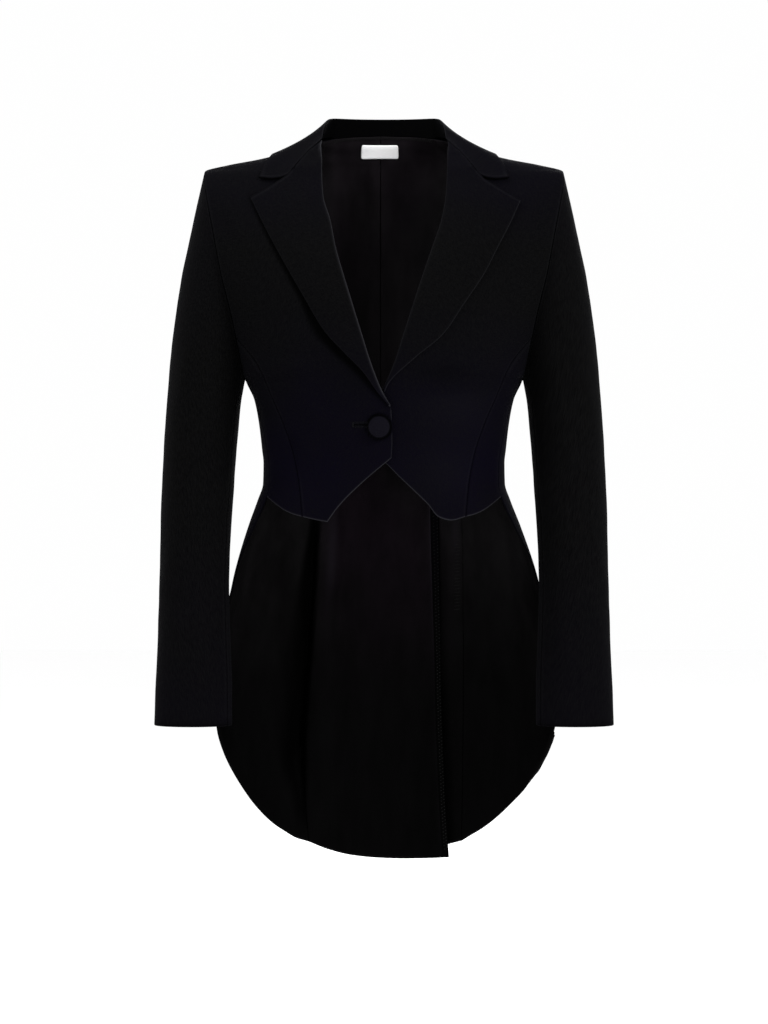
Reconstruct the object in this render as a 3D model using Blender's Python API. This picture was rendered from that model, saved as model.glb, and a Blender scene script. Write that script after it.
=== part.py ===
"""One-button blazer, cut away in front over two pointed hems, with a long rounded tail.

Sizes are in millimetres until a mesh is written. The origin is midway between the two shoulder
tips. +Z is up, +Y is the back of the garment and +X is the wearer's left. A turn is an angle round
the body: 0 at the centre front, 90 at the wearer's left side, 180 at the centre back.
"""

import math

import bpy
import numpy as np

for old in list(bpy.data.objects):
    bpy.data.objects.remove(old, do_unlink=True)

MM = 0.001

# Cloth and seams
FACE_CLOTH = 1.6
LINING_CLOTH = 1.0
LAYER_GAP = 0.35
SEAM_SETBACK = 0.22

# Body rings, from the tail's hem up to the back neck. The front and back depths are the places of
# the centre front and the centre back. Above height 0 the rings narrow along the shoulder seam.
# height, half width, front depth, back depth, side's place, sideways shift
BODY_RINGS = (
    (-775, 193.0, 100, 119, 22, 3.0),
    (-600, 193.0, 100, 116, 22, 3.0),
    (-560, 191.0, 101, 114, 21, 3.0),
    (-526, 186.5, 102, 112, 18, 3.0),
    (-493, 180.0, 103, 109, 14, 2.5),
    (-461, 171.5, 104, 105, 11, 2.0),
    (-434, 164.5, 105, 101, 9, 1.5),
    (-390, 150.0, 106, 94, 4, 0.5),
    (-360, 138.5, 106, 90, 0, 0.0),
    (-343, 133.0, 105, 88, 0, 0.0),
    (-320, 132.5, 106, 88, 0, 0.0),
    (-306, 134.0, 108, 90, 0, 0.0),
    (-280, 137.0, 112, 92, 0, 0.0),
    (-251, 142.5, 118, 95, 0, 0.0),
    (-228, 152.5, 123, 99, 0, 0.0),
    (-206, 156.5, 125, 102, 0, 0.0),
    (-161, 165.5, 121, 106, 0, 0.0),
    (-116, 176.5, 109, 106, 0, 0.0),
    (-70, 185.5, 89, 99, 0, 0.0),
    (-37, 192.0, 71, 92, 0, 0.0),
    (-15, 195.8, 56, 84, 0, 0.0),
    (0, 197.0, 47, 80, 0, 0.0),
    (7, 172.0, 41, 77, 0, 0.0),
    (13, 140.0, 37, 75, 0, 0.0),
    (17.5, 121.0, 35, 73, 0, 0.0),
    (20.5, 110.0, 33, 71, 0, 0.0),
    (25, 98.0, 31, 70, 0, 0.0),
    (30.5, 84.0, 27, 68, 0, 0.0),
    (35, 72.0, 22, 66, 0, 0.0),
    (47, 66.0, 20, 62, 0, 0.0),
)
RING_ROUND = 2.2
# height, how fast a ring falls away towards its side (2 is round, less is flatter)
RING_FALL = (
    (-775, 2.0),
    (-228, 2.0),
    (-206, 1.6),
    (-161, 1.38),
    (-70, 1.38),
    (-37, 1.55),
    (0, 2.0),
    (47, 2.0),
)

# Armhole: an upright oval from the shoulder tip to the underarm
ARMHOLE_HALF_HEIGHT = 114.0
ARMHOLE_HALF_DEPTH = 56.0
ARMHOLE_BOTTOM = -2 * ARMHOLE_HALF_HEIGHT
# angles round the armhole where panels and sleeve meet, from the tip to the underarm
ARMHOLE_ANGLES = (0, 8, 20, 34, 48, 64, 80, 96, 112, 128, 141, 154, 167, 180)
SIDE_FRONT_JOINS = 128
SIDE_BACK_JOINS = 96

# Neck
NECK_POINT = (72.0, 35.0)
CENTRE_BACK_X = -4.0
BACK_NECK_HEIGHT = 47.0


def column(table, number):
    """One column of a table as an array."""
    return np.array([row[number] for row in table], dtype=float)


def curve(known, values, wanted):
    """Smooth curve through the values at the known places, which never overshoots them."""
    known = np.asarray(known, dtype=float)
    values = np.asarray(values, dtype=float)
    wanted = np.clip(np.asarray(wanted, dtype=float), known[0], known[-1])
    step = np.diff(known)
    slope = np.diff(values) / step
    tangent = np.zeros(len(known))
    same_way = slope[:-1] * slope[1:] > 0
    first_weight = 2 * step[1:] + step[:-1]
    second_weight = step[1:] + 2 * step[:-1]
    left = np.where(same_way, slope[:-1], 1.0)
    right = np.where(same_way, slope[1:], 1.0)
    mean = (first_weight + second_weight) / (first_weight / left + second_weight / right)
    tangent[1:-1] = np.where(same_way, mean, 0.0)
    tangent[0] = slope[0]
    tangent[-1] = slope[-1]
    place = np.clip(np.searchsorted(known, wanted, side="right") - 1, 0, len(step) - 1)
    width = step[place]
    part = (wanted - known[place]) / width
    start = (1 + 2 * part) * (1 - part) ** 2
    start_lean = part * (1 - part) ** 2
    end = part**2 * (3 - 2 * part)
    end_lean = part**2 * (part - 1)
    held = start * values[place] + end * values[place + 1]
    leaned = start_lean * tangent[place] + end_lean * tangent[place + 1]
    return held + width * leaned


def ramp(value, low, high):
    """Rises smoothly from 0 at low to 1 at high."""
    part = np.clip((value - low) / (high - low), 0.0, 1.0)
    return part * part * (3 - 2 * part)


def ring(number, height):
    """One column of the body rings, read at any height."""
    return curve(column(BODY_RINGS, 0), column(BODY_RINGS, number), height)


def half_width(height):
    return ring(1, height)


def armhole_half_depth(height):
    """How far the armhole reaches forward and back at a height; nothing above or below it."""
    part = (np.asarray(height, dtype=float) + ARMHOLE_HALF_HEIGHT) / ARMHOLE_HALF_HEIGHT
    return ARMHOLE_HALF_DEPTH * np.sqrt(np.clip(1 - part**2, 0, None))


def armhole_height(angle):
    return ARMHOLE_HALF_HEIGHT * (np.cos(np.radians(angle)) - 1)


def body(turn, height, edge_face=-1):
    """Outer face of the body: an oval ring at each height, opened at the armhole."""
    turn = np.asarray(turn, dtype=float)
    height = np.asarray(height, dtype=float)
    across = np.abs(turn)
    face = np.where(across < 90 - 1e-6, -1.0, np.where(across > 90 + 1e-6, 1.0, edge_face))
    opened = armhole_half_depth(height)
    side = ring(4, height)
    depth = np.where(face < 0, ring(2, height) + side, ring(3, height) - side)
    sine = np.clip(np.abs(np.sin(np.radians(turn))), 0, 1)
    fall = curve(column(RING_FALL, 0), column(RING_FALL, 1), height)
    inward = np.clip(1 - sine**RING_ROUND, 0, None) ** (1 / fall)
    x = ring(5, height) + half_width(height) * np.sin(np.radians(turn))
    y = side + face * (opened + (depth - opened) * inward)
    return np.stack([x, y, height], axis=-1)


def front_turn(x, height):
    """The turn of a point on the front, from its place across the body."""
    part = np.clip((x - ring(5, height)) / half_width(height), -1, 1)
    return np.degrees(np.arcsin(part))


def back_turn(x, height):
    """The turn of a point on the back, from its place across the body."""
    part = np.clip((x - ring(5, height)) / half_width(height), -1, 1)
    return np.where(part < 0, -1, 1) * 180 - np.degrees(np.arcsin(part))


def shares(points):
    """How far along a line of points each one lies, from 0 to 1."""
    steps = np.linalg.norm(np.diff(points, axis=0), axis=1)
    run = np.concatenate([[0], np.cumsum(steps)])
    return run / run[-1]


def fill(bottom, top, near, far):
    """Points inside four edges: bottom and top run across, near and far run up."""
    bottom, top, near, far = (np.asarray(edge, dtype=float) for edge in (bottom, top, near, far))
    s = ((shares(bottom) + shares(top)) / 2)[:, None, None]
    t = ((shares(near) + shares(far)) / 2)[None, :, None]
    up = (1 - t) * bottom[:, None] + t * top[:, None]
    over = (1 - s) * near[None] + s * far[None]
    low = (1 - s) * bottom[0] + s * bottom[-1]
    high = (1 - s) * top[0] + s * top[-1]
    return up + over - (1 - t) * low - t * high


def ridge(count):
    """Points along the shoulder seam, from the neck point to the tip, evenly spaced across."""
    heights = np.linspace(NECK_POINT[1], 0, 400)
    across = half_width(heights)
    wanted = np.linspace(NECK_POINT[0], across[-1], count)
    found = np.interp(wanted, across, heights)
    return np.stack([half_width(found), found], axis=-1)


def mirrored(points):
    """The same points on the other side of the body."""
    return np.asarray(points, dtype=float) * np.array([-1.0, 1.0, 1.0])


def mirrored_if(side, points):
    """Moves points made for the wearer's left over to the right when the side asks for it."""
    return mirrored(points) if side < 0 else points


# Fronts. The lap lifts the right front over the left one near the centre.
FRONT_LAP = 5.0
FRONT_COLUMNS = 7
# The front edge and roll line, from the lower corner up to the neck point:
# height, right front's edge across, left front's edge across
FRONT_EDGE = (
    (-317.7, 6.2, -4.0),
    (-300.0, 8.8, -8.6),
    (-281.0, 8.4, -8.4),
    (-261.4, 7.4, -8.0),
    (-244.5, -2.1, -1.5),
    (-213.8, -14.2, 11.5),
    (-184.0, -23.5, 21.0),
    (-152.0, -33.3, 31.2),
    (-120.0, -43.0, 41.5),
    (-91.0, -51.2, 51.3),
    (-60.0, -57.4, 61.5),
    (-33.0, -64.3, 66.5),
    (-10.0, -66.4, 68.2),
    (10.0, -66.8, 69.0),
    (25.0, -68.5, 69.8),
    (35.0, -72.0, 72.0),
)
ROLL_STARTS = 3
# The cutaway edge and the pointed hem, from the lower corner out to the side-front seam:
# right front across, height, left front across, height
FRONT_HEM = (
    (6.2, -317.7, -4.0, -317.7),
    (-8.5, -329.5, 6.0, -322.5),
    (-23.0, -341.5, 16.5, -340.5),
    (-40.5, -357.0, 32.0, -354.0),
    (-51.0, -370.5, 48.0, -368.6),
    (-60.9, -384.7, 62.5, -385.0),
    (-74.0, -380.7, 76.0, -381.5),
    (-88.0, -376.0, 88.0, -376.0),
)
# The side-front seam, from the hem up to the armhole: across, height
SIDE_FRONT_SEAM = (
    (88.0, -376.0),
    (91.3, -345.0),
    (97.5, -312.0),
    (108.0, -280.0),
    (122.0, -248.0),
    (136.5, -215.0),
)


def armhole_points(first, last):
    """Armhole points from one joining angle to another: across, height."""
    low, high = min(first, last), max(first, last)
    angles = [angle for angle in ARMHOLE_ANGLES if low <= angle <= high]
    angles.sort(reverse=first > last)
    heights = armhole_height(np.array(angles, dtype=float))
    return np.stack([half_width(heights), heights], axis=-1)


def front_lift(x, height):
    """How far the right front stands forward to lap over the left front."""
    near = ramp(x, -72, -12)
    low = 1 - ramp(height, -225, -150)
    return FRONT_LAP * near * low


def front_grid(side):
    """Outer face of a front, -1 for the wearer's right and 1 for the left."""
    pick = 1 if side < 0 else 2
    near = np.stack([side * column(FRONT_EDGE, pick), column(FRONT_EDGE, 0)], axis=-1)
    hem_at = 0 if side < 0 else 2
    bottom = np.stack([side * column(FRONT_HEM, hem_at), column(FRONT_HEM, hem_at + 1)], axis=-1)
    far = np.concatenate([SIDE_FRONT_SEAM, armhole_points(SIDE_FRONT_JOINS, 0)])
    spots = fill(bottom, ridge(FRONT_COLUMNS + 1), near, far)
    x, height = side * spots[..., 0], spots[..., 1]
    points = body(front_turn(x, height), height)
    points[..., 0] = x
    if side < 0:
        points[..., 1] -= front_lift(x, height)
    return points


# Side fronts, from the side-front seam to the side seam
# The side seam, from the hem up to the underarm: turn, height
SIDE_SEAM = (
    (68.4, -357.3),
    (70.0, -336.0),
    (71.0, -315.0),
    (73.0, -294.0),
    (76.5, -273.0),
    (83.0, -250.0),
    (90.0, ARMHOLE_BOTTOM),
)
# Side front's hem, from the side-front seam to the side seam: across, height
SIDE_FRONT_HEM = (
    (88.0, -376.0),
    (98.0, -373.0),
    (107.5, -369.0),
    (117.0, -363.8),
)


def seam_turns(points, turner):
    """Turn and height of points given as across and height."""
    points = np.asarray(points, dtype=float)
    return np.stack([turner(points[:, 0], points[:, 1]), points[:, 1]], axis=-1)


def side_front_grid(side):
    """Outer face of a side front."""
    near = np.concatenate([SIDE_FRONT_SEAM, armhole_points(SIDE_FRONT_JOINS, SIDE_FRONT_JOINS)])
    near = seam_turns(near, front_turn)
    far = np.array(SIDE_SEAM, dtype=float)
    bottom = np.concatenate([seam_turns(SIDE_FRONT_HEM, front_turn), far[:1]])
    top = seam_turns(armhole_points(SIDE_FRONT_JOINS, 180), front_turn)
    spots = fill(bottom, top, near, far)
    return mirrored_if(side, body(spots[..., 0], spots[..., 1]))


# Back and tail
# Side-back seam, from the tail's hem up to the armhole: height, right across, left across
SIDE_BACK_SEAM = (
    (-743.0, -86.0, 89.0),
    (-690.0, -88.5, 90.0),
    (-640.0, -90.0, 90.5),
    (-590.0, -91.0, 91.0),
    (-540.0, -89.5, 91.0),
    (-490.0, -86.5, 90.5),
    (-445.0, -82.5, 90.0),
    (-400.0, -79.0, 89.0),
    (-357.0, -78.0, 87.0),
    (-320.0, -80.0, 86.0),
    (-285.0, -86.0, 89.0),
    (-245.0, -98.0, 99.0),
    (-205.0, -117.0, 117.0),
    (-165.0, -141.0, 141.0),
)
# The tail's rounded corner, from the side-back seam out to the free edge: across, height
TAIL_CORNER = (
    (99.0, -739.3),
    (111.0, -733.0),
    (126.0, -722.5),
    (144.0, -704.5),
    (162.0, -679.5),
)
# The tail's free edge, from the rounded corner up to the side seam: turn, height
TAIL_EDGE = (
    (112.0, -645.0),
    (103.5, -610.0),
    (98.0, -570.0),
    (95.0, -530.0),
    (93.0, -495.0),
    (91.0, -460.0),
    (84.0, -430.0),
    (73.0, -395.0),
)
# Centre back, from the hem up to the neck: heights shared by both sides
CENTRE_HEIGHTS = (
    -767,
    -712,
    -660,
    -608,
    -556,
    -504,
    -456,
    -410,
    -372,
    -338,
    -290,
    -250,
    -208,
    -167,
    -126,
    -88,
    -55,
    -25,
    0,
    20,
    35,
    BACK_NECK_HEIGHT,
)
VENT_TOP = -350.0
UNDERLAP_TOP = (53.0, -366.0)
UNDERLAP_FOOT = (74.0, -766.0)
# Tail hem: right side across, height, left side across, height
TAIL_HEM = (
    (74.0, -766.0, -4.0, -761.5),
    (48.0, -767.5, 12.0, -761.0),
    (20.0, -768.0, 27.0, -760.0),
    (-8.0, -767.0, 42.0, -758.0),
    (-36.0, -762.5, 58.0, -754.8),
    (-62.0, -754.5, 74.0, -750.0),
    (-86.0, -743.0, 89.0, -743.0),
)
# Back neckline, from the centre back to the neck point: across, height
BACK_NECK = (
    (0.0, 47.0),
    (30.0, 45.5),
    (56.0, 41.0),
)
SHOULDER_COLUMNS = 3
TAIL_LAP = 4.4
TAIL_LAP_FOOT = 9.0
FOLD_DEPTH = 12.0
FOLD_ACROSS = -105.0
FOLD_WIDTH = 15.0
ROLL_HEIGHT = 5.0
ROLL_WIDTH = 14.0


def tail_shift(side, x, height):
    """How far the tail moves back for the vent's lap and for the fold beside the side-back seam.

    On the left the cloth stands off behind the underlap. On the right a deep trough runs down just
    outside the side-back seam, and the cloth on its inner side rolls forward.
    """
    if side > 0:
        lap = TAIL_LAP + (TAIL_LAP_FOOT - TAIL_LAP) * ramp(-height, 380, 640)
        return lap * ramp(-height, 292, 338) * (1 - ramp(x, 78, 122))
    grown = ramp(-height, 385, 590)
    trough = FOLD_DEPTH * np.exp(-(((x - FOLD_ACROSS) / FOLD_WIDTH) ** 2))
    roll = ROLL_HEIGHT * np.exp(-(((x - FOLD_ACROSS - FOLD_WIDTH - 9) / ROLL_WIDTH) ** 2))
    return grown * (trough - roll)


def centre_x(side, height):
    """Where the centre edge of a back piece runs; the right one has the vent's underlap."""
    height = np.asarray(height, dtype=float)
    if side > 0:
        return np.full_like(height, CENTRE_BACK_X)
    slope = (UNDERLAP_FOOT[0] - UNDERLAP_TOP[0]) / (UNDERLAP_FOOT[1] - UNDERLAP_TOP[1])
    underlap = UNDERLAP_TOP[0] + slope * (height - UNDERLAP_TOP[1])
    return np.where(height < VENT_TOP, underlap, CENTRE_BACK_X)


def back_points(side, turn, height):
    """Outer face of the back at a turn and height, with the tail's lap and fold."""
    points = body(turn, height, edge_face=1)
    points[..., 1] += tail_shift(side, points[..., 0], points[..., 2])
    return points


def side_back_seam(side):
    """The side-back seam and its armhole end: across, height."""
    across = column(SIDE_BACK_SEAM, 1 if side < 0 else 2)
    lower = np.stack([across, column(SIDE_BACK_SEAM, 0)], axis=-1)
    joint = armhole_points(SIDE_BACK_JOINS, SIDE_BACK_JOINS) * np.array([side, 1.0])
    return np.concatenate([lower, joint])


# The lining stops short of the hem, of the tail's free edge and of the faced edge of the vent.
LINING_HEM = 9.0
VENT_FACING = 10.0
LINING_SEAM = 1.2


def with_margin(points, axis, end, distances):
    """Adds a grid line beside an edge, at a distance along each line that runs in from the edge."""
    lines = np.moveaxis(points, axis, 0)
    edge, inner = (lines[0], lines[1]) if end == 0 else (lines[-1], lines[-2])
    run = np.linalg.norm(inner - edge, axis=1, keepdims=True)
    wanted = np.broadcast_to(np.asarray(distances, dtype=float).reshape(-1, 1), run.shape)
    added = edge + (inner - edge) * np.minimum(wanted / run, 0.6)
    lines = np.insert(lines, 1 if end == 0 else len(lines) - 1, added, axis=0)
    return np.moveaxis(lines, 0, axis)


def centre_back_grid(side):
    """Outer face of a centre back, from the tail's hem to the neck and shoulder."""
    heights = np.array(CENTRE_HEIGHTS, dtype=float)
    hem_at = 0 if side < 0 else 2
    bottom = np.stack([column(TAIL_HEM, hem_at), column(TAIL_HEM, hem_at + 1)], axis=-1)
    heights[0] = bottom[0, 1]
    near = np.stack([centre_x(side, heights), heights], axis=-1)
    armhole = armhole_points(SIDE_BACK_JOINS, 0)[1:] * np.array([side, 1.0])
    far = np.concatenate([side_back_seam(side), armhole])
    top = np.concatenate([np.array(BACK_NECK), ridge(SHOULDER_COLUMNS + 1)])
    top = top * np.array([side, 1.0])
    top[0, 0] = CENTRE_BACK_X
    spots = fill(bottom, top, near, far)
    x, height = spots[..., 0], spots[..., 1]
    points = back_points(side, back_turn(x, height), height)
    points[..., 0] = x
    faced = (heights < VENT_TOP - 30) & (side < 0)
    distances = np.where(faced, VENT_FACING, LINING_SEAM)
    points = with_margin(points, 0, 0, distances)
    return with_margin(points, 1, 0, LINING_HEM)


def side_back_grid(side):
    """Outer face of a side back, cut in one with the side of the tail."""
    near = seam_turns(side_back_seam(side), back_turn)
    near[:, 0] = np.abs(near[:, 0])
    corner = np.array(TAIL_CORNER, dtype=float) * np.array([side, 1.0])
    corner = seam_turns(corner, back_turn)
    corner[:, 0] = np.abs(corner[:, 0])
    edge = np.array(TAIL_EDGE, dtype=float)
    far = np.concatenate([edge, SIDE_SEAM])
    bottom = np.concatenate([near[:1], corner, edge[:1]])
    top = seam_turns(armhole_points(SIDE_BACK_JOINS, 180), back_turn)
    spots = fill(bottom, top, near, far)
    points = back_points(side, side * spots[..., 0], spots[..., 1])
    distances = np.full(len(far), LINING_SEAM)
    distances[: len(TAIL_EDGE)] = LINING_HEM
    points = with_margin(points, 0, -1, distances)
    return with_margin(points, 1, 0, LINING_HEM)


# Sleeves. Each row is a slice through the sleeve, from the armhole down to the cuff:
# inner across, inner height, outer across, outer height, centre's place front to back, half depth
SLEEVE_SLICES = (
    (152.5, -228.0, 197.0, 0.0, 0.0, 56.0),
    (153.8, -234.0, 203.0, -26.0, 0.0, 57.5),
    (155.3, -242.0, 213.0, -72.0, 0.0, 59.0),
    (157.0, -252.0, 223.0, -118.0, 0.0, 60.0),
    (158.5, -264.0, 230.0, -166.0, -1.0, 60.0),
    (160.0, -282.0, 235.3, -214.0, -2.0, 58.0),
    (162.0, -307.0, 239.0, -262.0, -3.0, 55.5),
    (164.5, -344.0, 242.6, -320.0, -4.0, 53.0),
    (167.7, -392.0, 245.0, -384.0, -6.0, 48.8),
    (169.8, -450.0, 246.1, -450.0, -10.0, 45.3),
    (168.3, -506.0, 247.5, -508.0, -16.5, 42.6),
    (166.2, -560.0, 249.2, -562.0, -25.5, 39.3),
    (165.5, -606.0, 250.3, -606.0, -34.0, 36.5),
)
FOREARM_SEAM = 154
HIND_ARM_SEAM = -64
SLEEVE_STANDOFF = 0.35
UNDERARM_SPLITS = -128.0


def sleeve_grid(side, angles):
    """Outer face of part of a sleeve; angles run from the outer side over the front."""
    angles = np.array(angles, dtype=float)
    slices = np.array(SLEEVE_SLICES, dtype=float)
    inner = np.stack([slices[:, 0], slices[:, 4], slices[:, 1]], axis=-1)
    outer = np.stack([slices[:, 2], slices[:, 4], slices[:, 3]], axis=-1)
    middle = (inner + outer) / 2
    reach = (outer - inner) / 2
    cosine = np.cos(np.radians(angles))[:, None, None]
    sine = np.sin(np.radians(angles))[:, None, None]
    forward = np.zeros_like(middle)
    forward[:, 1] = -slices[:, 5]
    points = middle[None] + cosine * reach[None] + sine * forward[None]
    heights = armhole_height(np.abs(angles))
    depth = armhole_half_depth(heights) * -np.sign(angles)
    loop = np.stack([half_width(heights), depth, heights], axis=-1)
    to_armhole = loop - points[:, 0]
    for row, share in ((0, 1.0), (1, 0.55), (2, 0.2)):
        points[:, row] += share * to_armhole
    return mirrored_if(side, points)


def sleeve_angles(first, last):
    """Joining angles round the sleeve, with the back ones below 0."""
    front = [float(angle) for angle in ARMHOLE_ANGLES]
    back = [-angle for angle in front[1:-1]]
    under = [360 - angle for angle in front[1:-1]]
    around = sorted(front + back + under)
    return [angle for angle in around if first <= angle <= last]


def closed_angle(angle):
    """The same place round the sleeve, counted from -180 to 180."""
    return angle if angle <= 180 else angle - 360


# Walls: what turns an outer face into cloth with a thickness


def face_normals(points):
    """Area-weighted normals of the cells of a grid."""
    first = points[1:, 1:] - points[:-1, :-1]
    second = points[:-1, 1:] - points[1:, :-1]
    return np.cross(first, second)


def turned_out(points, core):
    """The grid, reversed across if its cells face the core."""
    normals = face_normals(points)
    middles = (points[1:, 1:] + points[:-1, :-1]) / 2
    facing = np.sum(normals * (middles - core), axis=-1).sum()
    return points if facing > 0 else points[::-1]


def shared_normals(grids, keys):
    """Normals at the grid points, averaged over every panel that meets at a point."""
    places, normals = [], []
    for points, key in zip(grids, keys):
        cells = face_normals(points)
        total = np.zeros_like(points)
        total[:-1, :-1] += cells
        total[1:, :-1] += cells
        total[:-1, 1:] += cells
        total[1:, 1:] += cells
        places.append((points + key).reshape(-1, 3))
        normals.append(total.reshape(-1, 3))
    rounded = np.round(np.concatenate(places) * 50).astype(np.int64)
    unique, index = np.unique(rounded, axis=0, return_inverse=True)
    summed = np.zeros((len(unique), 3))
    np.add.at(summed, index.reshape(-1), np.concatenate(normals))
    lengths = np.linalg.norm(summed, axis=1, keepdims=True)
    every = (summed / np.maximum(lengths, 1e-9))[index.reshape(-1)]
    shared, start = [], 0
    for points in grids:
        count = points.shape[0] * points.shape[1]
        shared.append(every[start : start + count].reshape(points.shape))
        start += count
    return shared


def set_back(points, distances):
    """Draws a grid's edges in along its own lines: bottom, top, near and far, each by a distance."""
    moved = points.copy()
    for axis, end, distance in zip((1, 1, 0, 0), (0, -1, 0, -1), distances):
        lines = np.moveaxis(points, axis, 0)
        target = np.moveaxis(moved, axis, 0)
        edge = lines[end]
        inward = lines[1 if end == 0 else -2] - edge
        size = np.linalg.norm(inward, axis=1, keepdims=True)
        along = np.gradient(edge, axis=0)
        along /= np.maximum(np.linalg.norm(along, axis=1, keepdims=True), 1e-9)
        square = inward - np.sum(inward * along, axis=1, keepdims=True) * along
        slant = size / np.maximum(np.linalg.norm(square, axis=1, keepdims=True), 1e-9)
        wanted = np.asarray(distance, dtype=float).reshape(-1, 1) * np.minimum(slant, 2.5)
        target[end] += inward / np.maximum(size, 1e-9) * np.minimum(wanted, size * 0.7)
    return moved


def material(name, colour, roughness, metallic=0.0):
    """Plain surface colour for one piece."""
    made = bpy.data.materials.new(name)
    made.use_nodes = True
    shader = made.node_tree.nodes["Principled BSDF"]
    shader.inputs["Base Color"].default_value = (*colour, 1.0)
    shader.inputs["Roughness"].default_value = roughness
    shader.inputs["Metallic"].default_value = metallic
    return made


def add_object(name, vertices, faces, surface):
    mesh = bpy.data.meshes.new(name)
    mesh.from_pydata((np.asarray(vertices) * MM).tolist(), [], faces)
    mesh.materials.append(surface)
    made = bpy.data.objects.new(name, mesh)
    bpy.context.scene.collection.objects.link(made)
    return made


def rim_of(across, up):
    """Grid point numbers once round the edge of a grid, in order."""
    first = [(i, 0) for i in range(across)]
    second = [(across - 1, j) for j in range(1, up)]
    third = [(i, up - 1) for i in range(across - 2, -1, -1)]
    fourth = [(0, j) for j in range(up - 2, 0, -1)]
    return [i * up + j for i, j in first + second + third + fourth]


def add_wall(name, outer, inner, surface):
    """A closed sheet between an outer and an inner grid."""
    across, up = outer.shape[:2]
    count = across * up
    vertices = np.concatenate([outer.reshape(-1, 3), inner.reshape(-1, 3)])
    faces = []
    for i in range(across - 1):
        for j in range(up - 1):
            a, b = i * up + j, (i + 1) * up + j
            faces += [(a, b, b + 1), (a, b + 1, a + 1)]
            a, b = a + count, b + count
            faces += [(a, b + 1, b), (a, a + 1, b + 1)]
    rim = rim_of(across, up)
    for here, there in zip(rim, rim[1:] + rim[:1]):
        faces.append((there, here, count + here, count + there))
    return add_object(name, vertices, faces, surface)


SIDES = ((-1, "right"), (1, "left"))
FACE_COLOUR = (0.012, 0.012, 0.014)
LINING_COLOUR = (0.008, 0.007, 0.008)

# Outer faces of every shell panel
shell = {}
for side, word in SIDES:
    shell["front_" + word] = front_grid(side)
    shell["side_front_" + word] = side_front_grid(side)
    shell["side_back_" + word] = side_back_grid(side)
    shell["centre_back_" + word] = centre_back_grid(side)
    top_angles = sleeve_angles(HIND_ARM_SEAM, FOREARM_SEAM)
    under_angles = sleeve_angles(FOREARM_SEAM, 360 + HIND_ARM_SEAM)
    shell["top_sleeve_" + word] = sleeve_grid(side, [closed_angle(a) for a in top_angles])
    shell["under_sleeve_" + word] = sleeve_grid(side, [closed_angle(a) for a in under_angles])

names = list(shell)
for name in names:
    sign = -1 if name.endswith("right") else 1
    if "sleeve" in name:
        core = (shell[name][1:, 1:] + shell[name][:-1, :-1]) / 2
        core[..., 0] = sign * curve([-610, -250, -120, 0], [208, 198, 190, 172], core[..., 2])
        core[..., 1] = -8.0
    else:
        core = np.array([0.0, 0.0, -200.0])
    shell[name] = turned_out(shell[name], core)

keys = []
for name in names:
    key = np.zeros_like(shell[name])
    if "sleeve" in name:
        key[..., 0] = np.where(shell[name][..., 2] < UNDERARM_SPLITS, 5000.0, 0.0)
    keys.append(key)
outward = dict(zip(names, shared_normals([shell[name] for name in names], keys)))

for name in names:
    on_ridge = (shell[name][..., 2] > -0.5) & (np.abs(shell[name][..., 1]) < 0.01)
    outward[name][..., 1][on_ridge] = 0.0
    outward[name] /= np.linalg.norm(outward[name], axis=-1, keepdims=True)

for name in names:
    face = material(name, FACE_COLOUR, 0.85)
    points = shell[name].copy()
    if "sleeve" in name:
        points[..., 0] += SLEEVE_STANDOFF * np.sign(points[..., 0])
    points = set_back(points, (SEAM_SETBACK,) * 4)
    add_wall(name, points, points - FACE_CLOTH * outward[name], face)

# Lining of the back and the tail, made from the shell's own points, moved in
for side, word in SIDES:
    for panel in ("centre_back_", "side_back_"):
        name = panel + word
        face = material("lining_" + name, LINING_COLOUR, 0.45)
        points = shell[name] - (FACE_CLOTH + LAYER_GAP) * outward[name]
        first, last = abs(points[0, 9, 0]), abs(points[-1, 9, 0])
        wide_first = first > last if panel == "side_back_" else first < last
        kept = slice(1, None) if wide_first else slice(None, -1)
        points = points[kept, 1:]
        out = outward[name][kept, 1:]
        points = set_back(points, (SEAM_SETBACK,) * 4)
        add_wall("lining_" + name, points, points - LINING_CLOTH * out, face)

# Lapels: the turned-back tops of the front facings, lying on the fronts
# Gorge seam and lapel top, from the roll line out to the lapel tip: across, height
LAPEL_TOP_RIGHT = (
    (67.5, 33.5),
    (83.4, 19.2),
    (98.0, 0.0),
    (107.6, -10.2),
    (126.0, -22.0),
    (145.0, -33.0),
)
LAPEL_TOP_LEFT = (
    (69.0, 33.0),
    (83.4, 19.2),
    (98.0, 0.0),
    (108.2, -12.0),
    (128.0, -24.5),
    (148.3, -36.3),
)
# Lapel's outer edge, from the break point up to the tip: across, height
LAPEL_EDGE_RIGHT = (
    (-3.0, -258.0),
    (5.3, -248.9),
    (22.8, -225.2),
    (42.4, -205.4),
    (64.1, -181.3),
    (86.3, -143.9),
    (108.1, -105.4),
    (126.4, -71.3),
    (145.0, -33.0),
)
LAPEL_EDGE_LEFT = (
    (0.5, -246.5),
    (3.5, -240.0),
    (31.8, -211.8),
    (62.7, -185.6),
    (86.5, -151.0),
    (107.7, -119.0),
    (123.0, -89.0),
    (137.0, -61.6),
    (148.3, -36.3),
)
LAPEL_CLEARANCE = 1.0
LAPEL_ROLL = 2.4


def body_normal(turn, height):
    """Outward direction of the body at a turn and height."""
    around = body(turn + 1.0, height) - body(turn - 1.0, height)
    up = body(turn, height + 0.5) - body(turn, height - 0.5)
    normal = np.cross(around, up)
    return normal / np.linalg.norm(normal, axis=-1, keepdims=True)


def front_surface(side, x, height, lift=0.0):
    """Place front to back of a point standing off the front's outer face by the lift."""
    turn = front_turn(x, height)
    slope = np.clip(np.abs(body_normal(turn, height)[..., 1]), 0.35, 1.0)
    y = body(turn, height)[..., 1] - lift / slope
    return y - front_lift(x, height) if side < 0 else y


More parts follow.
